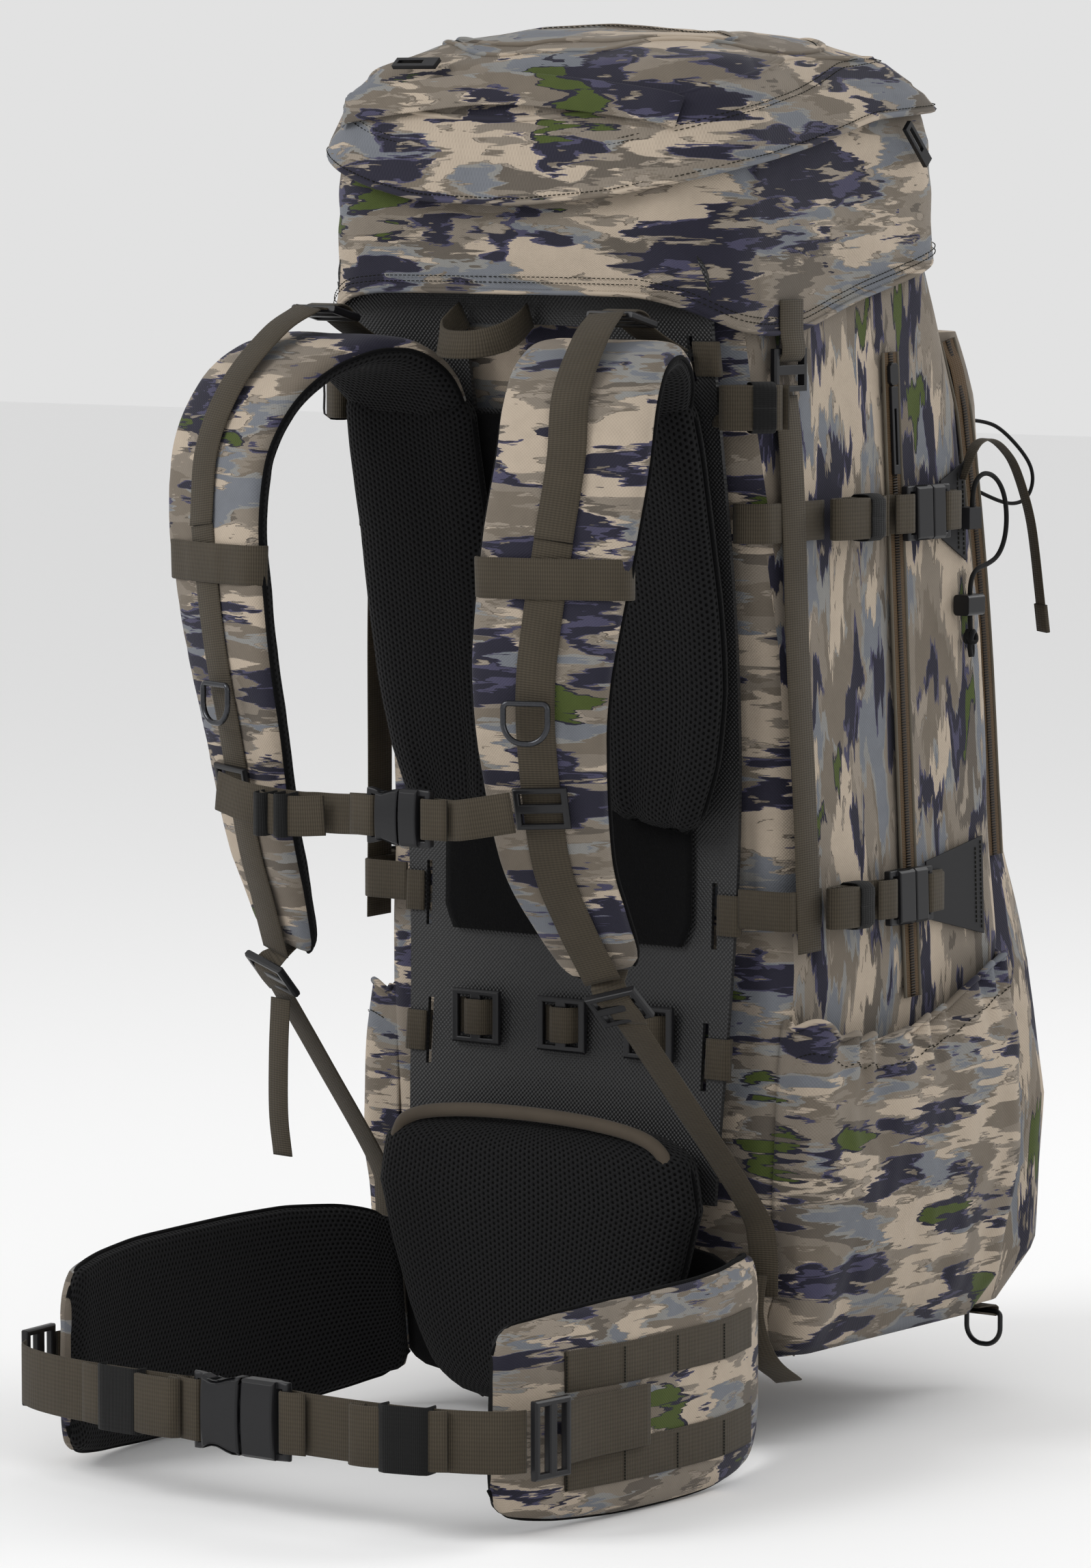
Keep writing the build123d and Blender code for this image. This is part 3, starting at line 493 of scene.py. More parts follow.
def crowned(shape, middle, half, waist):
    """Gives a buckle crowned faces and a waist at a distance along X, after cutting it into strips."""
    middle = Vector(middle)
    for normal, reach in ((Vector(ACROSS_X), 40), (Vector(UP), 24)):
        for k in range(-reach, reach + 1, 4):
            geometry = shape.verts[:] + shape.edges[:] + shape.faces[:]
            cut = (middle + normal * k) * MM
            bmesh.ops.bisect_plane(shape, geom=geometry, plane_co=cut, plane_no=normal, dist=1e-7)
    for v in shape.verts:
        off = v.co / MM - middle
        pinch = 0 if waist is None else 0.17 * math.exp(-((off.x - waist) / (half * 0.4)) ** 2)
        crown = half * 0.075 * max(0, 1 - (off.z / half) ** 2) * (off.y / (half * 0.25))
        v.co = (middle + Vector((off.x, off.y + crown, off.z * (1 - pinch)))) * MM


def moulded(name, node, body, radius=0.9, whole=False, crown=None):
    """Stands for a node of a moulding and the webbing sewn to it, and keeps only the moulding."""
    shape = bmesh.new()
    shape.from_mesh(frame["nodes"][node].data)
    bmesh.ops.remove_doubles(shape, verts=shape.verts, dist=1e-6)
    left, islands = set(shape.verts), []
    while left and not whole:
        group, edge = set(), {next(iter(left))}
        while edge:
            group |= edge
            edge = {e.other_vert(v) for v in edge for e in v.link_edges} - group
        islands.append(group)
        left -= group
    if islands:
        tallest = max(islands, key=lambda g: max(v.co.z for v in g) - min(v.co.z for v in g))
        bmesh.ops.delete(shape, geom=[v for v in shape.verts if v not in tallest], context="VERTS")
    rounded(shape, radius)
    if crown:
        crowned(shape, *crown)
    bmesh.ops.triangulate(shape, faces=shape.faces)
    data = bpy.data.meshes.new(name)
    shape.to_mesh(data)
    shape.free()
    return piece(name, data, body, PLASTIC, [node])


def stitches(name, paths, body="pack", across=UP, pitch=3.6, size=(2.3, 0.6)):
    """Runs of sewn thread: one small raised dash per stitch."""
    verts, faces = [], []
    for path in paths:
        for p, _, wide, normal in stations(path, across, pitch)[:-1]:
            along = wide.cross(normal)
            base = len(verts)
            for c, long, broad in ((-1, 1, 1), (1, 0.7, 0.6)):
                for a, b in ((-1, -1), (-1, 1), (1, 1), (1, -1)):
                    offset = along * (a * long * size[0] / 2) + wide * (b * broad * size[1] / 2)
                    verts.append((p + (offset + normal * (c * 0.3))) * MM)
            faces += [tuple(base + k for k in face) for face in
                      ((0, 3, 2, 1), (4, 5, 6, 7), (0, 1, 5, 4), (1, 2, 6, 5), (2, 3, 7, 6), (3, 0, 4, 7))]
    data = bpy.data.meshes.new(name)
    data.from_pydata(verts, [], faces)
    return piece(name, data, body, THREAD)


def fold(p, size, seed):
    """Smooth wrinkle height from -1 to 1, with a feature size for each axis."""
    q = Vector((p[0] / size[0] + seed, p[1] / size[1] + seed * 1.3, p[2] / size[2] - seed))
    return noise.noise(q) + 0.45 * noise.noise(q * 2.3)


def solidify(obj, thick):
    """Gives an open sheet a wall that grows inwards."""
    modifier = obj.modifiers.new("wall", "SOLIDIFY")
    modifier.thickness = thick * MM
    modifier.offset = -1


def table_at(table, z):
    """Row of a table at a first value, straight between its rows and held past its ends."""
    for low, high in zip(table, table[1:]):
        if z <= high[0]:
            t = max(0, (z - low[0]) / (high[0] - low[0]))
            return [a + (b - a) * t for a, b in zip(low, high)]
    return list(table[-1])


def between(table, value):
    """Second value of that row."""
    return table_at(table, value)[1]


def ring(half, low, high, radius, z):
    """Rounded rectangle from the middle of its -Y side: point and outward normal of each step."""
    start = previous = Vector((0, low))
    flat = []
    for x, y, turn, steps in ((half - radius, low + radius, -90, END_STEPS),
                              (half - radius, high - radius, 0, SIDE_STEPS),
                              (radius - half, high - radius, 90, SIDE_STEPS),
                              (radius - half, low + radius, 180, SIDE_STEPS)):
        arc = []
        for k in range(CORNER_STEPS + 1):
            angle = math.radians(turn + k * 90 / CORNER_STEPS)
            normal = Vector((math.cos(angle), math.sin(angle)))
            arc.append((Vector((x, y)) + normal * radius, normal))
        flat += [(previous.lerp(arc[0][0], s / steps), arc[0][1]) for s in range(steps)] + arc
        previous = arc[-1][0]
    flat += [(previous.lerp(start, s / END_STEPS), Vector((0, -1))) for s in range(1, END_STEPS)]
    return [(Vector((*p, z)), Vector((*normal, 0))) for p, normal in flat]


def section(table, z):
    """The outline at a height, from a table of half width, rear y, front y and corner radius."""
    return ring(*table_at(table, z)[1:], z)


# ---------------------------------------------------------------- camera and stage
CAMERA_TURN, CAMERA_DIP = math.radians(37), math.radians(5.51)
CAMERA_DISTANCE, CAMERA_LEFT, CAMERA_Z, CAMERA_TARGET_Y = 4350, 15, 780, -140
LENS, SENSOR, CLIP_END = 156.8, 36, 50
WHITE, FLOOR_GREY, SKY_STRENGTH = (1, 1, 1, 1), (0.92, 0.92, 0.92, 1), 0.76
FLOOR_HALF, FLOOR_GAP = 12, 0.002
# Name, place in metres, power and width of each lamp; all point at the pack's middle
LAMPS = [("key", (-1.6, -2.6, 2.4), 50, 1.6), ("fill", (2.8, -1.2, 1.4), 10, 1.6),
         ("rim", (1.2, 2.2, 2), 22, 1.2)]
LAMP_TARGET = Vector((0, -0.1, 0.4))


def make_camera():
    """Long-lens camera at the harness side, turned towards the pack's right."""
    ahead = Vector((-math.sin(CAMERA_TURN), math.cos(CAMERA_TURN), 0))
    right = Vector((math.cos(CAMERA_TURN), math.sin(CAMERA_TURN), 0))
    eye = Vector((0, CAMERA_TARGET_Y, CAMERA_Z)) - ahead * CAMERA_DISTANCE - right * CAMERA_LEFT
    data = bpy.data.cameras.new("camera")
    data.lens, data.sensor_width, data.clip_end = LENS, SENSOR, CLIP_END
    camera = link("camera", data)
    camera.location = eye * MM
    camera.rotation_euler = (math.pi / 2 - CAMERA_DIP, 0, CAMERA_TURN)
    bpy.context.scene.camera = camera


def make_stage():
    """Pale floor, white surroundings and three soft lamps."""
    mesh = bpy.data.meshes.new("floor")
    corners = [(-1, -1), (1, -1), (1, 1), (-1, 1)]
    floor_z = CAD_BOX[0].z - FLOOR_GAP
    mesh.from_pydata([(FLOOR_HALF * x, FLOOR_HALF * y, floor_z) for x, y in corners], [], [(0, 1, 2, 3)])
    paint = Nodes("floor_paint", roughness=0.9)
    paint.shader.inputs["Base Color"].default_value = FLOOR_GREY
    mesh.materials.append(paint.material)
    link("floor", mesh)

    world = bpy.data.worlds.new("studio")
    world.use_nodes = True
    sky = world.node_tree.nodes["Background"]
    sky.inputs["Color"].default_value = WHITE
    sky.inputs["Strength"].default_value = SKY_STRENGTH
    bpy.context.scene.world = world
    bpy.context.scene.view_settings.view_transform = "Standard"
    for name, place, power, width in LAMPS:
        lamp = bpy.data.lights.new(name, "AREA")
        lamp.energy, lamp.size = power, width
        obj = link(name, lamp)
        obj.location = place
        obj.rotation_euler = (LAMP_TARGET - Vector(place)).to_track_quat("-Z", "Y").to_euler()


# ---------------------------------------------------------------- free cords
BUNGEE = [(168, 71, 534), (168, 71, 547), (168.5, 81, 556), (169.5, 94, 554), (170.3, 104, 544),
          (170.6, 108, 529), (170.3, 107, 513), (169.6, 100, 501), (168.8, 88, 496), (168, 76, 494),
          (168, 69, 486), (168, 69, 477.5)]
LOOP = [(112, 152, 586), (116, 165, 585), (122, 177, 579), (130, 195, 560), (130, 203, 546), (128, 199, 533),
        (125, 187, 529), (120, 173, 532), (113, 160, 539)]
TAIL = [(161.4, 68, 552), (164, 73, 565), (161, 85, 574), (158, 100, 577), (156, 115, 575), (154, 129, 569),
        (153, 142, 560), (152, 154, 544), (152, 165, 522), (152, 171, 498), (152, 176, 473), (152, 181, 449)]
KNOT = (168, 70, 450)
BUNGEE_R, LOOP_R, TAIL_WIDTH, TAIL_ACROSS = 1.6, 1.3, 10, (0.94, -0.34, 0)


def make_cords():
    """The elastic cord with its knot, the cord loop and the hanging tail."""
    knot_line = []
    for k in range(17):
        a = 2 * math.pi * k / 16
        curl = (3 * math.sin(2 * a), 3.2 * math.cos(3 * a), 4.2 * math.sin(3 * a))
        knot_line.append([c + d for c, d in zip(KNOT, curl)])
    knot = tube("knot", knot_line, BUNGEE_R, "pack", CORD, ["bungee_knot"])
    tube("knot_lead", [(168, 69, 466), (168, 69.6, 458), KNOT], BUNGEE_R, "pack", CORD)
    for k, y in enumerate((-2, 3.2)):
        tube(f"cord_end_{k}", [KNOT, (168, 70 + y, 444), (168 - y / 2, 71 + y, 437)], BUNGEE_R, "pack", CORD)
    bungee = tube("bungee", BUNGEE, BUNGEE_R, "pack", CORD, ["bungee_cord"])
    loop = tube("pull_loop", LOOP, LOOP_R, "pack", CORD, ["loop_cord"])
    route = spline_points(TAIL)
    tail = tape("strap_tail", route, TAIL_WIDTH, TAIL_ACROSS, thick=1.2, replaces=["tail_webbing"])
    end = [route[-4], route[-1] + Vector((0, 0.6, -3))]
    strap("strap_tail_end", end, TAIL_WIDTH + 2, TAIL_ACROSS, thick=3)


# ---------------------------------------------------------------- bag
# Rows of height, half width, rear y, front y and corner radius
BAG = [(0, 148, -126, 90, 30), (40, 162, -130, 120, 28), (250, 168, -124, 124, 24),
       (450, 161.78, -134, 106, 24), (600, 157.11, -162, 88, 28), (700, 154, -182, 60, 36)]
BAG_TOP, ROW_STEP, CLOTH_WALL, THIN_WALL = 700, 8, 2.4, 1.6
# Rows of height, half width, front y and corner radius
POCKET = [(4, 150, 158, 28), (40, 165, 177, 24), (140, 166, 182, 24), (230, 156, 181, 28),
          (300, 140, 179, 34), (460, 133, 170, 32), (600, 126, 160, 30), (645, 118, 148, 28)]
POCKET_LOW, POCKET_HIGH, POCKET_REAR = 4, 645, 40
# Rows of height, half width, rear y and front y
SIDE_POCKET = [(2, 160, -116, 96), (30, 178, -124, 108), (110, 190, -126, 112),
               (180, 189, -124, 112), (250, 182, -118, 108)]
SIDE_RADIUS, FLAT_HEIGHT, SIDE_ROWS, SIDE_COLUMNS = 18, 120, 34, 110
# The mouth's height along y
POCKET_MOUTH = [(-130, 217), (-90, 206), (-40, 200), (20, 213), (93, 238), (120, 242)]


def cloth(name, rows, body, replaces=(), caps=(False, False), closed=True):
    """A piece of the printed cloth from rows of points."""
    return piece(name, grid_data(name, rows, closed, caps), body, CAMO, replaces)


def paint_sides(obj):
    """Gives the faces that look sideways the cloth with the upright print."""
    obj.data.materials.append(CAMO_UPRIGHT)
    for face in obj.data.polygons:
        if abs(face.normal.x) > 0.8:
            face.material_index = 1


def make_bag():
    """Main bag: slightly full panels that tuck in at the floor, with a bound rim."""
    rows = []
    for z in [0.5 + ROW_STEP * k for k in range(88)] + [BAG_TOP]:
        row = []
        for p, n in section(BAG, z):
            corner = abs(abs(n.x) - abs(n.y)) < 0.9
            fullness = 4.2 * fold(p, (60, 60, 190), 4) * (1 if corner else 0.75)
            tuck = min(1, (z + 2) / 24)
            row.append(p + n * (min(fullness - 1.6, 0.9) * tuck))
        rows.append(row)
    floor_rows = [[Vector((p.x * s, (p.y + 18) * s - 18, 0.4)) for p in rows[0]] for s in (0.02, 0.5, 0.96)]
    obj = cloth("bag", floor_rows + rows, "pack", ["bag_body"], (True, False))
    paint_sides(obj)
    solidify(obj, CLOTH_WALL)
    rim = [p + Vector((0, 0, 0.5)) for p in rows[-1][::6]]
    tube("bag_rim", looped(rim), 2, "pack", BINDING)


def make_front_pocket():
    """Long padded pocket over the bag's front, with a slightly domed top."""
    rows = []
    for k in range(82):
        z = min(POCKET_LOW + ROW_STEP * k, POCKET_HIGH)
        _, half, high, radius = table_at(POCKET, z)
        edge = table_at(BAG, z)[3] - 5
        puff = 3.5 * math.sin(math.pi * min(1, (z - POCKET_LOW) / (POCKET_HIGH - POCKET_LOW))) ** 0.5
        row = []
        for p, n in ring(half, POCKET_REAR, high, radius, z):
            p = p + n * (2.6 * fold(p, (70, 70, 120), 9) - 2 + (puff if n.y > 0.5 else 0) * 0.4)
            row.append(Vector((p.x, max(p.y, edge), p.z)))
        rows.append(row)
    centre, cover = Vector((0, 110, 648)), []
    for s in (0.9, 0.6, 0.2):
        cover.append([centre + (p - centre) * s + Vector((0, 0, (1 - s) * 3)) for p in rows[-1]])
    obj = cloth("pocket_front", rows + cover, "pack", ["front_pocket"], (True, True))
    paint_sides(obj)


def side_path(z):
    """Outside of the side pocket at one height, from the harness side round to the front."""
    _, half, low, high = table_at(SIDE_POCKET, z)
    inner = min(table_at(BAG, z)[1] - 14, half - 12)
    x = half - SIDE_RADIUS
    line = [(inner, low)]
    for y, turn in ((low + SIDE_RADIUS, -90), (high - SIDE_RADIUS, 0)):
        for k in range(7):
            angle = math.radians(turn + 15 * k)
            line.append((x + SIDE_RADIUS * math.cos(angle), y + SIDE_RADIUS * math.sin(angle)))
    line.append((inner, high))
    lengths = [0]
    for a, b in zip(line, line[1:]):
        lengths.append(lengths[-1] + math.dist(a, b))
    result, i = [], 0
    for s in range(SIDE_COLUMNS + 1):
        d = lengths[-1] * s / SIDE_COLUMNS
        while i < len(line) - 2 and lengths[i + 1] < d:
            i += 1
        t = (d - lengths[i]) / max(lengths[i + 1] - lengths[i], 1e-6)
        result.append(Vector((*(a + (b - a) * t for a, b in zip(line[i], line[i + 1])), z)))
    return result


def make_side_pockets():
    """Stretch pockets with a gathered elastic mouth."""
    flat = side_path(FLAT_HEIGHT)
    for side, word in SIDES:
        rows = []
        for k in range(SIDE_ROWS + 1):
            t = k / SIDE_ROWS
            row = []
            for c, level in enumerate(flat):
                top = between(POCKET_MOUTH, level.y)
                z = 3 + (top - 3) * t
                p = side_path(z)[c]
                near = max(0, 1 - (top - z) / 46)
                gather = math.sin(c * 2 * math.pi / 10.5 + 1.7 * math.sin(c * 0.21))
                ruffle = 3.2 * near**1.4 * gather
                drape = (6 * fold(p, (60, 38, 95), 15) - 2.5) * (1 - 0.75 * near)
                edge = min(1, c / 10, (SIDE_COLUMNS - c) / 10) * min(1, t * 5)
                shift = (ruffle + drape - 4 * near + 3 * math.sin(math.pi * t)) * edge
                row.append((side * (p.x + shift), p.y, p.z + 3.4 * near * gather))
            rows.append(row)
        seam = [(x + side * 0.7, y, z) for x, y, z in rows[-4][6:-6:2]]
        rows = [row[::side] for row in rows]
        obj = cloth(f"pocket_side_{word}", rows, "pack", [f"side_pocket_{word}"], closed=False)
        solidify(obj, THIN_WALL)
        stitches(f"gather_thread_{word}", [seam], pitch=4)
        tube(f"pocket_hem_{word}", rows[-1][3:-3:2], 2.1, "pack", CAMO)


# ---------------------------------------------------------------- lid
# Rows of height, half width, rear y, front y and corner radius
LID = [(640, 162, -212, 75, 52), (770, 161, -210, 74, 54), (800, 155, -204, 66, 54),
       (820, 138, -188, 48, 52), (833, 108, -156, 20, 48), (840, 70, -116, -14, 40)]
# Heights of the flap's edge along x at the back and along y at the sides, and of the hem along y
LID_EDGE = [(-161, 765), (-113, 745), (-63, 734), (13, 731), (87, 737), (161, 750)]
LID_SIDE_EDGE = [(-212, 750), (-110, 769), (-36, 785), (75, 792)]
LID_SIDE_HEM = [(-212, 661), (-165, 652), (-140, 651), (-109, 654), (-46, 672), (38, 691), (75, 697)]
DOME_FOOT, DOME_RISE, DOME_ROWS, FLAP_ROWS, EDGE_LIMIT = 806, 34, 16, 14, 822
CAP_SEED, SKIRT_SEED, SAG_SEED = 33, 21, 51


def side_share(p):
    """How far a point of the lid's outline is from the back's height to the side's, from 0 to 1."""
    return min(1, max(0, (p.y + 211) / 34))


def hem_z(p):
    """Height of the lid's lower edge: nearly level at the back, rising along the sides."""
    back = 676 - 15 * (abs(p.x) / 161) ** 7
    return back + (between(LID_SIDE_HEM, p.y) - back) * side_share(p)


def flap_z(p):
    """Height of the piped edge of the lid's top flap, which sags across the back."""
    back = between(LID_EDGE, p.x)
    side = between(LID_SIDE_EDGE, p.y) + (8 if p.x < 0 else 0)
    return back + (side - back) * side_share(p)


def lid_rows(start, stop, count, grow, seed, amount):
    """Rows of the lid's side between two height functions."""
    base = ring(162, -212, 75, 53, 0)
    rows = []
    for k in range(count + 1):
        t = k / count
        row = []
        for i, (flat, _) in enumerate(base):
            z = start(flat) + (stop(flat) - start(flat)) * t
            p, n = section(LID, z)[i]
            row.append(p + n * (grow(t) + amount * fold(p, (85, 85, 45), seed)))
        rows.append(row)
    return rows


def lid_line(height, proud, seed, amount):
    """Closed line round the lid at a height function, standing proud of its side."""
    return looped(lid_rows(height, height, 1, lambda t: proud, seed, amount)[0][::3])


def line_above(rise):
    """The lid's outline at a height above the flap's edge."""
    proud = 0.4 + 7 * (1 - min(1, rise / 56)) ** 1.7
    return lid_line(lambda p: min(flap_z(p) + rise, EDGE_LIMIT), proud, CAP_SEED, 1.6)


def lid_cap():
    """Rows of the lid's domed top, from the flap's edge to the middle, sagging in soft folds."""
    cap = lid_rows(flap_z, lambda p: DOME_FOOT, FLAP_ROWS, lambda t: 7 * (1 - t) ** 1.7, CAP_SEED, 1.6)
    for k in range(1, DOME_ROWS + 1):
        z = DOME_FOOT + DOME_RISE * math.sin(math.pi / 2 * k / DOME_ROWS)
        cap.append([p + n * (1.2 * fold(p, (85, 85, 45), CAP_SEED)) for p, n in section(LID, z)])
    centre, crown = Vector((0, -65, 842)), cap[-1]
    for s in (0.8, 0.55, 0.3, 0.08):
        cap.append([centre + (p - centre) * s for p in crown])
    for row in cap[FLAP_ROWS:]:
        for i, p in enumerate(row):
            row[i] = p + Vector((0, 0, 4 * fold(p, (60, 110, 60), SAG_SEED)))
    return cap


def make_lid_ovals(cap):
    """Two raised oval seams on the lid's top, each with a row of thread inside it."""
    count = len(cap[0])
    surface = BVHTree.FromPolygons([p for row in cap for p in row], grid_faces(len(cap), count, count))
    for word, wide, deep, y in (("outer", 128, 108, -72), ("inner", 104, 50, -112)):
        oval = []
        for k in range(61):
            a = 2 * math.pi * k / 60
            start = Vector((wide * math.cos(a) + 0.37, y + deep * math.sin(a) + 0.29, 900))
            hit = surface.ray_cast(start, Vector((0, 0, -1)))[0] or surface.find_nearest(start)[0]
            oval.append(hit + Vector((0, 0, 0.4)))
        tube(f"lid_{word}_seam", oval, 1.9, "lid", CAMO)
        inset = [Vector((p.x * 0.965, y + (p.y - y) * 0.95, p.z + 0.9)) for p in oval[::2]]
        stitches(f"lid_{word}_thread", [inset], "lid")


def make_lid():
    """Lid: a skirt, a padded cap with piping and seams, and the zip at the back."""
    skirt = lid_rows(hem_z, lambda p: flap_z(p) + 14, 26, lambda t: -1 - 4.5 * t, SKIRT_SEED, 4.2)
    obj = cloth("lid_skirt", skirt, "lid", ["lid_pouch"])
    solidify(obj, CLOTH_WALL)
    cap = lid_cap()
    obj = cloth("lid_cap", cap, "lid", caps=(False, True))
    tube("lid_piping", looped(cap[0][::3]), 1.8, "lid", CAMO)
    stitches("lid_flap_thread", [line_above(rise) for rise in (3, 31, 34)], "lid")
    tube("lid_top_seam", line_above(52), 2, "lid", CAMO)
    tube("lid_hem", looped(skirt[0][::3]), 1.7, "lid", CAMO)
    runs = [lid_line(lambda p: hem_z(p) + rise, 0.2, SKIRT_SEED, 2.4) for rise in (6, 9.5)]
    stitches("lid_hem_thread", runs, "lid")
    seam = [(0, -208, 801), (60, -207.5, 797), (118, -206, 790)]
    strap("lid_zip_tape", mirrored(seam), 7, (0, 0.25, 0.97), "lid", material=TAPE, thick=1.2,
          replaces=["lid_zip"], slot="zip")
    flap = [(x, y - 3, z + 2) for x, y, z in mirrored(seam + [(132, -200, 786)])]
    strap("lid_zip_flap", flap, 21, (0, 0.3, 0.95), "lid", material=CAMO, thick=1.6)
    make_lid_ovals(cap)


# ---------------------------------------------------------------- pads
PAD_LINE = [(86, -197, 608), (92, -208, 622), (101, -227, 634), (110, -252, 638), (121, -281, 629),
            (131, -304, 608), (137, -319, 575), (134, -328, 530), (127, -330, 485), (121, -329, 445),
            (117, -322, 402), (116, -307, 336), (120, -288, 297), (126, -268, 262)]
PAD_WIDTH = [88, 94, 98, 100, 100, 100, 99, 97, 93, 88, 82, 72, 62, 50]
PAD_TILT = [0, 0, 2, 5, 9, 13, 16, 18, 18, 18, 18, 18, 18, 18]
PAD_ACROSS = [(math.cos(math.radians(t)), math.sin(math.radians(t)), 0) for t in PAD_TILT]
PAD_FACE = 11 + 0.5 + WEB_T / 2
PAD_ROOT = [(82, -184, 560), (83, -189, 588)]
PAD_THICK = [10, 16] + [22] * 12 + [19, 15]
PAD_WRINKLE = 0.7
BACK_PAD_LINE = [(86, 612), (88, 575), (88, 525), (89, 476), (88, 430), (84, 385), (78, 340)]
WING_LINE = [(141, -153, 18), (160, -170, 17), (178, -205, 14), (189, -250, 11), (190, -300, 10),
             (187, -350, 10), (179, -398, 10), (166, -440, 11)]
WING_HEIGHT = [104, 118, 128, 131, 131, 130, 124, 106]
WING_THICK = [15, 17, 20, 21, 21, 21, 21, 18]
# The frame sheet's glides and its field of loop pile
GLIDE_Z, FIELD_TOP, FIELD_HEIGHT, FIELD_HALF, FIELD_ROWS = 206, 598, 336, 98, 43


def sheet_y(z):
    """The frame sheet's S curve."""
    u = (z - 100) / 600
    return 310 * u**4 - 579 * u**3 + 208 * u**2 + 16 * u - 148


def pad(name, line, width, thick, across, body, faces, replaces, seed, ends=16, channels=()):
    """Foam pad: a crowned cross section that pulls in at both edges and both ends."""
    points = stations(line, across, 4.5)
    lengths = [0]
    for a, b in zip(points, points[1:]):
        lengths.append(lengths[-1] + (b[0] - a[0]).length)
    total, count = lengths[-1], 44
    rows, seams = [], ([], [])
    for (p, place, wide, normal), d in zip(points, lengths):
        near = min(1, min(d, total - d) / ends)
        squeeze = math.sqrt(max(0, 1 - (1 - near) ** 2))
        w = at(width, place) / 2 * (0.72 + 0.28 * squeeze)
        t = at(thick, place) / 2 * (0.25 + 0.75 * squeeze)
        row = []
        for c in range(count):
            a = 2 * math.pi * c / count
            x = math.copysign(abs(math.cos(a)) ** 0.45, math.cos(a))
            y = math.copysign(abs(math.sin(a)) ** 0.62, math.sin(a))
            q = p + wide * (w * x) + normal * (t * y)
            sunk = sum(5 * math.exp(-((x * w - at(ch, place)) / 4) ** 2) for ch in channels)
            push = PAD_WRINKLE * fold(q, (26, 26, 22), seed) - sunk
            row.append(q + normal * (push * math.copysign(min(1, abs(y) * 1.4), y)))
        rows.append(row)
        seams[0].append(p + wide * (w + 0.3))
        seams[1].append(p - wide * (w + 0.3))
    data = grid_data(name, rows, True, (True, True))
    obj = piece(name, data, body, faces[0], replaces)
    data.materials.append(faces[1])
    ring_faces = (len(rows) - 1) * count
    for k, face in enumerate(data.polygons):
        if k < ring_faces and k % count >= count // 2:
            face.material_index = 1
    for word, seam in zip(("a", "b"), seams):
        tube(f"{name}_edge_{word}", seam[::3] + seam[-1:], 1.5, body, TRIM)


def make_pads():
    """Shoulder pads, back pads, lumbar pad with its binding, belt yoke and wings."""
    for side, word in SIDES:
        across = flip_across(PAD_ACROSS[:2] + PAD_ACROSS, side)
        pad(f"pad_{word}", flip(PAD_ROOT + PAD_LINE, side), [70, 80] + PAD_WIDTH, PAD_THICK, across, "pack",
            (CAMO, MESH)[::side], [f"shoulder_pad_{word}"], seed=5 + side)
    for side, word in SIDES:
        line = [(side * x, sheet_y(z) - 16.5, z) for x, z in BACK_PAD_LINE]
        pad(f"pad_back_{word}", line, [98, 100, 100, 99, 97, 88, 66], 24, ACROSS_X, "pack", (MESH, MESH),
            ["back_pads"] if side > 0 else [], channels=(-14, 16), seed=8)
    line = [(0, -171.5, z) for z in (148, 131, 99, 60, 20, -12, -36)]
    pad("pad_lumbar", line, [204, 238, 250, 228, 200, 166, 124], 40, ACROSS_X, "pack", (MESH, MESH),
        ["lumbar_pad"], ends=22, seed=11)
    edge = [(0, -187.5, 153.5), (50, -187, 152), (92, -185, 146), (108, -182, 134), (112, -178, 116)]
    tube("lumbar_binding", mirrored(edge), 4.6, "pack", BINDING)
    yoke = [(0, -141, z) for z in (72, 50, 20, -10, -32)]
    width = [250, 264, 268, 264, 252]
    pad("pad_yoke", yoke, width, 11, ACROSS_X, "pack", (TRIM, TRIM), ["belt_yoke"], seed=12)
    for side, word in SIDES:
        pad(f"pad_wing_{word}", flip([(127, -149, 19)] + WING_LINE, side), [104] + WING_HEIGHT[:-1] + [112],
            [14] + WING_THICK, UP, f"belt_{word}", (MESH, CAMO)[::side], [f"wing_{word}"], seed=14)


# ---------------------------------------------------------------- hardware kept from the CAD
HARDWARE = {
    PLASTIC: ["hip_lever_upper", "hip_lever_lower", "sternum_lever_upper", "sternum_lever_lower",
              "lid_locks", "lid_pull_left", "lid_pull_right", "cord_lock",
              "side_zip_slider_left", "side_zip_slider_right", "base_rings_front", "base_rings_rear"],
    STEEL: ["d_ring_left", "d_ring_right"],
    ALLOY: ["frame_stays"],
    POLYMER: ["frame_sheet"],
    RUBBER: ["compression_patches"],
}
# Mouldings that get rounded edges: body and edge radius of each
ROUNDED = {"hip_socket": ("belt_left", 2.2), "hip_male": ("belt_right", 1.6),
           "sternum_male": ("sternum_strap", 1), "tri_glides": ("pack", 1),
           "belt_lock_left": ("belt_left", 1.3), "belt_lock_right": ("belt_right", 1.3),
           "strap_adjusters": ("pack", 0.9), "compression_males": ("pack", 0.9),
           "sternum_sliders": ("sternum_strap", 0.9)}
# Buckles with crowned faces: middle, half height and the waist's distance along X
HIP_MIDDLE, CHEST_MIDDLE, CHEST_HALF = Vector((10, -482, 4)), Vector((42, -366, 360)), 17.5
CROWNED = {"hip_socket": (HIP_MIDDLE, 24, -18), "hip_male": (HIP_MIDDLE, 24, None),
           "sternum_male": (CHEST_MIDDLE, CHEST_HALF, None)}


def paint_hardware():
    """Rounds the mouldings in ROUNDED and gives the other hardware its materials."""
    for node, (body, radius) in ROUNDED.items():
        moulded(node + "_moulding", node, body, radius, True, CROWNED.get(node))
    for material, names in HARDWARE.items():
        for name in names:
            data = frame["nodes"][name].data
            data.materials.clear()
            data.materials.append(material)


# ---------------------------------------------------------------- straps
# The side panel: half width at a height, and how far it leans in over a rise
PANEL_X, PANEL_Z, PANEL_LEAN, PANEL_RISE = 168, 250, 14, 450
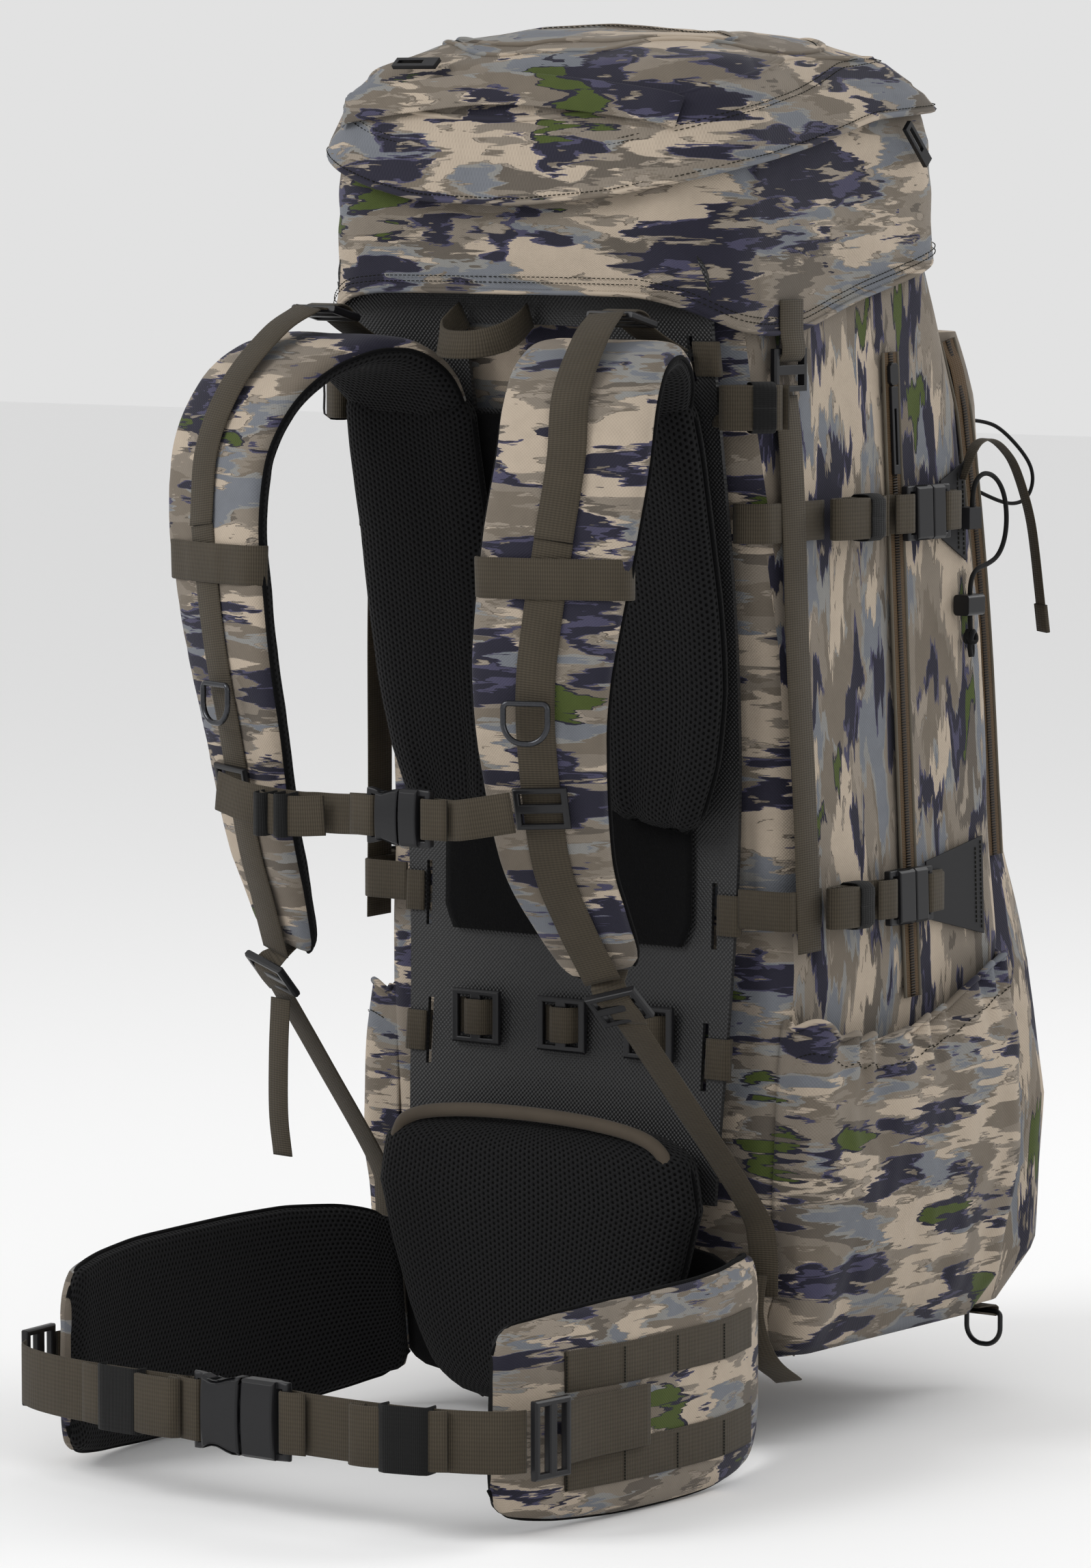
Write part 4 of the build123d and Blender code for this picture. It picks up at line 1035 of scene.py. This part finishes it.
# Lengths of the two halves of a small buckle and of the hip buckle
MALE, SOCKET, HIP_MALE, HIP_SOCKET = 23.03, 25.66, 35, 39


def side_point(y, z, lift):
    """A point on the right side panel, lift millimetres off it."""
    slope = math.atan2(PANEL_LEAN, PANEL_RISE)
    x = PANEL_X - (z - PANEL_Z) * PANEL_LEAN / PANEL_RISE
    return (x + math.cos(slope) * lift, y, z + math.sin(slope) * lift)


def hook(length, side):
    """Route of webbing round a buckle's rear bar: (along, out) pairs."""
    slot, turn = length - 6.25, 3.6
    route = [(length + 16, -1.6), (length + 8, -2.6), (length + 1, -turn), (slot + 1, -turn), (slot, 0),
             (slot + 1, turn), (length + 1, turn), (length + 13, 1.6)]
    return [(side * x, z) for x, z in route]


def make_shoulder_straps():
    """Webbing down the pads, load lifters, crossbands, lower straps and the haul loop."""
    face = lifted(PAD_LINE, PAD_ACROSS, PAD_FACE)
    straps("pad_webbing", face[7:14], across=PAD_ACROSS[7:14], replaces=["shoulder_webbing"])
    over = lifted(PAD_LINE, PAD_ACROSS, PAD_FACE + 0.9)
    front = [(117, -258.5, 665.5), (124, -284, 651), (132.5, -315, 619)] + over[6:8]
    straps("lifter_front", front, across=[ACROSS_X, *PAD_ACROSS[4:8]], replaces=["load_lifter_straps"])
    straps("lifter_rear", [(118, -190.5, 641), (117, -212, 649.5), (116.5, -226, 656.5)], across=ACROSS_X)
    folded = [(116.5, -226, 657), (116.5, -231, 664), (116.5, -241, 667), (116.5, -252, 664.5),
              (116.8, -259, 665)]
    straps("lifter_fold", folded, across=ACROSS_X)
    band = []
    for offset, lift in mirrored([(13, 14.4), (22, 13), (38, 11.2), (45, 8.6), (49, 4), (50, -2)]):
        a, b = lifted(PAD_LINE, PAD_ACROSS, lift)[7:9]
        band.append((a + b) / 2 + Vector(PAD_ACROSS[8]) * offset)
    straps("pad_crossband", band, across=(0, -0.04, 1))
    lower = [(138.5, -262, 230), (143, -215, 178), (149, -150, 104), (151.5, -139, 78), (152, -138, 44)]
    straps("lower_strap", lower, 20, (1, 0.2, 0))
    folded = [(127, -266, 262), (131, -275, 254), (137.5, -277, 246), (140, -269, 237), (139, -262, 230)]
    straps("lower_loop", folded, 22, (1, 0.2, 0))
    right = [(153, -152, 60), (155, -158, 34), (154, -142, 6), (152, -110, -14)]
    strap("lower_tail_right", right, 19, (1, 0.5, 0))
    left = [(-139, -262, 224), (-140, -263, 190), (-141, -262, 150), (-140, -259, 122)]
    strap("lower_tail_left", left, 19, (-1, 0.2, 0))
    loop = [(-44, -192, 661), (-45, -204, 654), (-43, -217, 648), (-33, -229, 644), (-18, -233, 643),
            (-3, -229, 644), (7, -217, 648), (9, -204, 654), (8, -192, 661)]
    strap("haul", loop, 18, (0, 0.25, 1), thick=2, replaces=["haul_loop"])


def make_sternum_straps():
    """Chest strap: webbing through both halves of its buckle, a slack end and two elastic keepers."""
    def world(route):
        return [tuple(CHEST_MIDDLE + Vector((x, -z, 0))) for x, z in route]

    right = world(hook(MALE, 1)[::-1]) + [(92, -364, 361.5), (116, -352, 366)]
    strap("chest_right", right, body="sternum_strap", replaces=["sternum_webbing"])
    left = [(12, -357.7, 359), (-14, -357.9, 358), (-30, -358.5, 358), (-46, -360.4, 358), (-84, -361, 361),
            (-116, -352, 366)]
    strap("chest_left", left, body="sternum_strap")
    moulded("chest_socket", "sternum_socket", "sternum_socket", crown=(CHEST_MIDDLE, CHEST_HALF, -13))
    strap("chest_lead", world(hook(SOCKET, -1)[::-1]), body="sternum_socket")
    slack = [(-20, -364.4, 357), (-36, -369.5, 356), (-52, -371.5, 356), (-66, -369, 357), (-70, -365, 358)]
    strap("chest_slack", slack, body="sternum_strap")
    for word, x in (("a", -44), ("b", -60)):
        band = [(x, -359, 357), (x - 0.5, -373.4, 356), (x - 9, -373, 356), (x - 9.5, -359, 357)]
        strap(f"chest_keeper_{word}", band, WEB + 2, UP, "sternum_strap", material=ELASTIC, thick=1,
              slot=None)


# The belt's folded-back webbing beside the buckle and the elastic keeper round it, at the belt's height
BELT_Z = 4
BELT_LOOPS = {
    "right": ([(160, -473.5), (150, -479), (128, -484), (112, -489.5), (99, -489.8), (97, -486),
               (106, -483.2)],
              [(119, -477.6), (119.5, -487.6), (124, -488.8), (146, -483), (150, -480.5), (149, -471)]),
    "left": ([(-118, -480.5), (-104, -483.6), (-80, -485.4), (-60, -489.6), (-40, -490), (-36, -486.8),
              (-46, -484)],
             [(-68, -480.2), (-68.5, -487.6), (-72, -488.4), (-98, -487.4), (-101, -486), (-100, -479)]),
}


def make_belt_straps():
    """The hip belt's webbing round the buckle, its folded ends, and two rows of sewn loops on each wing."""
    def level(route):
        return [(x, y, BELT_Z) for x, y in route]

    anchor = level([(203.2, -330), (201.8, -352), (199.6, -376), (199.4, -396), (200.6, -411)])
    far = level([(196.5, -444.5), (187, -458), (160, -471), (118, -479)])
    for side, word in SIDES:
        body = f"belt_{word}"
        length = HIP_MALE if side > 0 else HIP_SOCKET
        near = level([(12 + x, -482 - out) for x, out in hook(length, side)])
        strap(f"belt_anchor_{word}", flip(anchor, side), BELT_WEB, UP, body, thick=2,
              replaces=[f"belt_webbing_{word}"])
        strap(f"belt_strap_{word}", flip(far, side) + near, BELT_WEB, UP, body)
        loop, keeper = map(level, BELT_LOOPS[word])
        strap(f"belt_fold_{word}", loop, BELT_WEB - 1, UP, body, thick=2.4)
        strap(f"belt_keeper_{word}", keeper, BELT_WEB + 3, UP, body, material=ELASTIC, thick=1.2, slot=None)
        for row, z in (("upper", 38), ("lower", -22)):
            line = [(x + 11.4, y, z) for x, y, _ in WING_LINE[2:7]]
            strap(f"belt_row_{row}_{word}", flip(line, side), body=body)
            bars = [[(side * (x + 12.6), y, z + h) for h in (-11, 11)] for x, y, _ in WING_LINE[3:7]]
            stitches(f"belt_tacks_{row}_{word}", bars, body, across=ACROSS_Y, pitch=1.8, size=(1.4, 0.9))


ROLL_TURNS, ROLL_STEPS = 4, 12


def rolled(centre, direction, out, long, thick):
    """A spare strap's end rolled up flat: a spiral in the plane of direction and out."""
    points = []
    for k in range(ROLL_TURNS * ROLL_STEPS + 1):
        a = 2 * math.pi * k / ROLL_STEPS
        grow = 0.22 + 0.78 * k / (ROLL_TURNS * ROLL_STEPS)
        points.append(centre + direction * (long / 2 * grow * math.cos(a))
                      + out * (thick / 2 * min(1, grow * 1.1) * math.sin(a)))
    return points


def bundle(name, centre, direction, out, long, thick, body, width=WEB + 1):
    """The rolled strap with its elastic band."""
    centre, direction, out = Vector(centre), Vector(direction), Vector(out)
    straps(name, rolled(centre, direction, out, long, thick), width, UP, body)
    a, h = thick / 2 + 1.3, width / 2 + 1.2
    band = [(a, 0), (a, h * 0.8), (a * 0.6, h), (-a * 0.6, h), (-a, h * 0.8), (-a, -h * 0.8), (-a * 0.6, -h),
            (a * 0.6, -h), (a, -h * 0.8), (a, 0)]
    loop = [centre + direction * (long * 0.12) + out * x + Vector(UP) * z for x, z in band]
    straps(name + "_elastic", loop, 15, tuple(direction), body, material=ELASTIC, thick=1, slot=None)


def make_corner_straps():
    """Straps down the rear corners with the lid's tabs, and the straps under the base."""
    line = [side_point(y, z, h) for y, z, h in ((-126, 612, 1.5), (-126, 585, 4.2), (-125, 530, 5.2),
                                                (-124, 450, 5.2), (-120, 350, 5.2), (-118, 262, 5))]
    straps("corner_strap", line, across=ACROSS_Y, replaces=["side_straps"])
    tab = [(163.3, 672), (163.5, 652), (165.1, 643), (165, 638), (161.4, 633.6)]
    straps("corner_tab", [(x, -127, z) for x, z in tab], across=ACROSS_Y, body="lid", replaces=["lid_tabs"])
    base = [(-131.8, 26), (-130.8, 2), (-128, -3), (-121, -3.2), (60, -3.2), (140, -1.2)]
    straps("base_strap", [(112, y, z) for y, z in base], across=ACROSS_X)


# Compression straps: height, the buckle's mouth, the roll and the sewn patch along y, and the strap's start
COMPRESSION = {
    "upper": (533, 16, (-96, -30), (46, 74),
              [(142.5, -159.5, 533), (151, -159, 533), (160.5, -152, 533), (162.9, -141, 533)]),
    "lower": (289, -13, (-108, -57), (20, 86),
              [(132.5, -139, 289), (142, -138.5, 289), (165, -138, 289), (170.4, -132.5, 289)]),
}


def make_compression_straps():
    """Two straps on each side: webbing, buckle, rolled spare end, sewn patch and its thread."""
    for name, (z, mouth, roll, patch, start) in COMPRESSION.items():
        route = start + [side_point(roll[0] - 14, z, 3.2), side_point(roll[0] + 6, z, 3.2)]
        straps(f"{name}_strap", route, replaces=["compression_straps"] if name == "upper" else [])
        body = name + "_socket_SIDE"
        for _, word in SIDES:
            moulded(f"{name}_buckle_{word}", f"{name}_socket_{word}", f"{name}_socket_{word}")
        centre = side_point(sum(roll) / 2 - 4, z, 15.2)
        bundle(f"{name}_roll", centre, ACROSS_Y, ACROSS_X, roll[1] - roll[0], 15.5, body)
        lead = [side_point(mouth - SOCKET - y, z, 3.2) for y in (42, 18)]
        lead += [side_point(mouth + x, z, 10.8 + out) for x, out in hook(SOCKET, -1)[2:]]
        straps(f"{name}_lead", lead, body=body)
        tail = [side_point(mouth + x, z, 10.8 + out) for x, out in hook(MALE, 1)[:1:-1]]
        tail += [side_point(patch[0] + y, z, 2.6) for y in (4, 16)]
        straps(f"{name}_anchor", tail)
        rows = [[side_point(patch[1] - y, z + end, 1.9) for end in (-h, h)] for y, h in ((3, 29), (9, 25))]
        stitches(f"{name}_patch_thread", rows, across=ACROSS_Y, pitch=3)


def make_side_ends():
    """The rolled end at each upper corner and the small tabs under the base."""
    bundle("top_roll", (163.5, -169, 606), (0.66, 0.75, 0), (0.75, -0.66, 0), 46, 17, "pack", WEB + 3)
    straps("top_roll_tab", [(138, -176, 606), (146, -177, 606), (153, -172, 606)])
    front = [(128, -1.4), (146, -2.6), (152.6, -4.4), (152.8, -9.6), (146, -8.6), (128, -5)]
    rear = [(-126, -4.4), (-128.2, -6.6), (-126, -8.8), (-122, -6.4), (-96, -5.2)]
    for word, x, tab in (("front", 128, front), ("rear", 112, rear)):
        straps(f"base_tab_{word}", [(x, y, z) for y, z in tab], 22, ACROSS_X)


def make_frame_webbing():
    """Webbing on the frame sheet: bridges through the glides, tabs round its edges and the loop field."""
    glide_y = sheet_y(GLIDE_Z) - 1.5 - 4.6
    for k, x in enumerate((-69, 0, 69)):
        bridge = mirrored([(6.6, -3.4), (9.8, 3), (16, 3)])
        points = [(x + along, glide_y + out, GLIDE_Z) for along, out in bridge]
        strap(f"glide_bridge_{k}", points, WEB - 2, thick=1.2, replaces=["frame_webbing"] if k == 0 else ())
    for name, x, z, height in (("low", 112, 193, 26), ("mid", 117, 284, 26), ("top", 131, 636, 22)):
        y, edge, reach = sheet_y(z), 122 + (z + height / 2 - 100) * 0.043, 2.8
        route = [(x, y - reach, z), (edge + 1, y - reach, z), (edge + 2.4, y, z), (edge + 1, y + reach, z),
                 (x, y + reach, z)]
        tilt = (0, (sheet_y(z + 10) - sheet_y(z - 10)) / 20, 1)
        straps(f"edge_tab_{name}", route, height, tilt)
    rows = []
    for k in range(FIELD_ROWS + 1):
        z = FIELD_TOP - k * FIELD_HEIGHT / FIELD_ROWS
        y = sheet_y(z) - 3.6
        half = FIELD_HALF if z > 276 else FIELD_HALF - (276 - z) * 0.5
        row = [half * (c / 20 - 1) for c in range(41)]
        rows.append([Vector((x, y + 0.3 * fold((x, y, z), (9, 9, 9), 2), z)) for x in row])
    data = grid_data("loop_field", rows, False)
    solidify(piece("loop_field", data, "pack", PILE, ["loop_panel"]), THIN_WALL)


# ---------------------------------------------------------------- zips
def zip_line(name, points, across, replaces=()):
    """A zip: its tape, the coil in the middle and a welt along each edge."""
    strap(f"{name}_tape", points, 15, across, material=TAPE, thick=0.7, replaces=replaces, slot="zip")
    centre = stations(points, across, 30)
    strap(f"{name}_coil", [p + n * -0.55 for p, _, _, n in centre], 5, across, material=COIL, thick=1,
          slot="zip")
    for word, shift in (("a", 8.2), ("b", -8.2)):
        tube(f"{name}_welt_{word}", [p + w * shift - n * 0.2 for p, _, w, n in centre], 1.1, "pack", HEM)


def make_zips():
    """The zips along the side panels and down the front pocket's sides."""
    for side, word in SIDES:
        line = [side_point(1 - (z - 250) * 10 / 384, z, 1.2) for z in (636, 540, 450, 350, 222)]
        zip_line(f"side_zip_{word}", flip(line, side), (0, -side, 0), ["zip_tracks"] if side > 0 else ())
        places = ((640, 112), (600, 120), (460, 134), (300, 140))
        pocket = [(between(POCKET, z) + 1.4, y, z) for z, y in places]
        zip_line(f"pocket_zip_{word}", flip(pocket, side), (0, -side, 0))


make_camera()
make_stage()
make_cords()
make_bag()
make_front_pocket()
make_side_pockets()
make_lid()
make_pads()
paint_hardware()
make_shoulder_straps()
make_sternum_straps()
make_belt_straps()
make_corner_straps()
make_compression_straps()
make_side_ends()
make_frame_webbing()
make_zips()
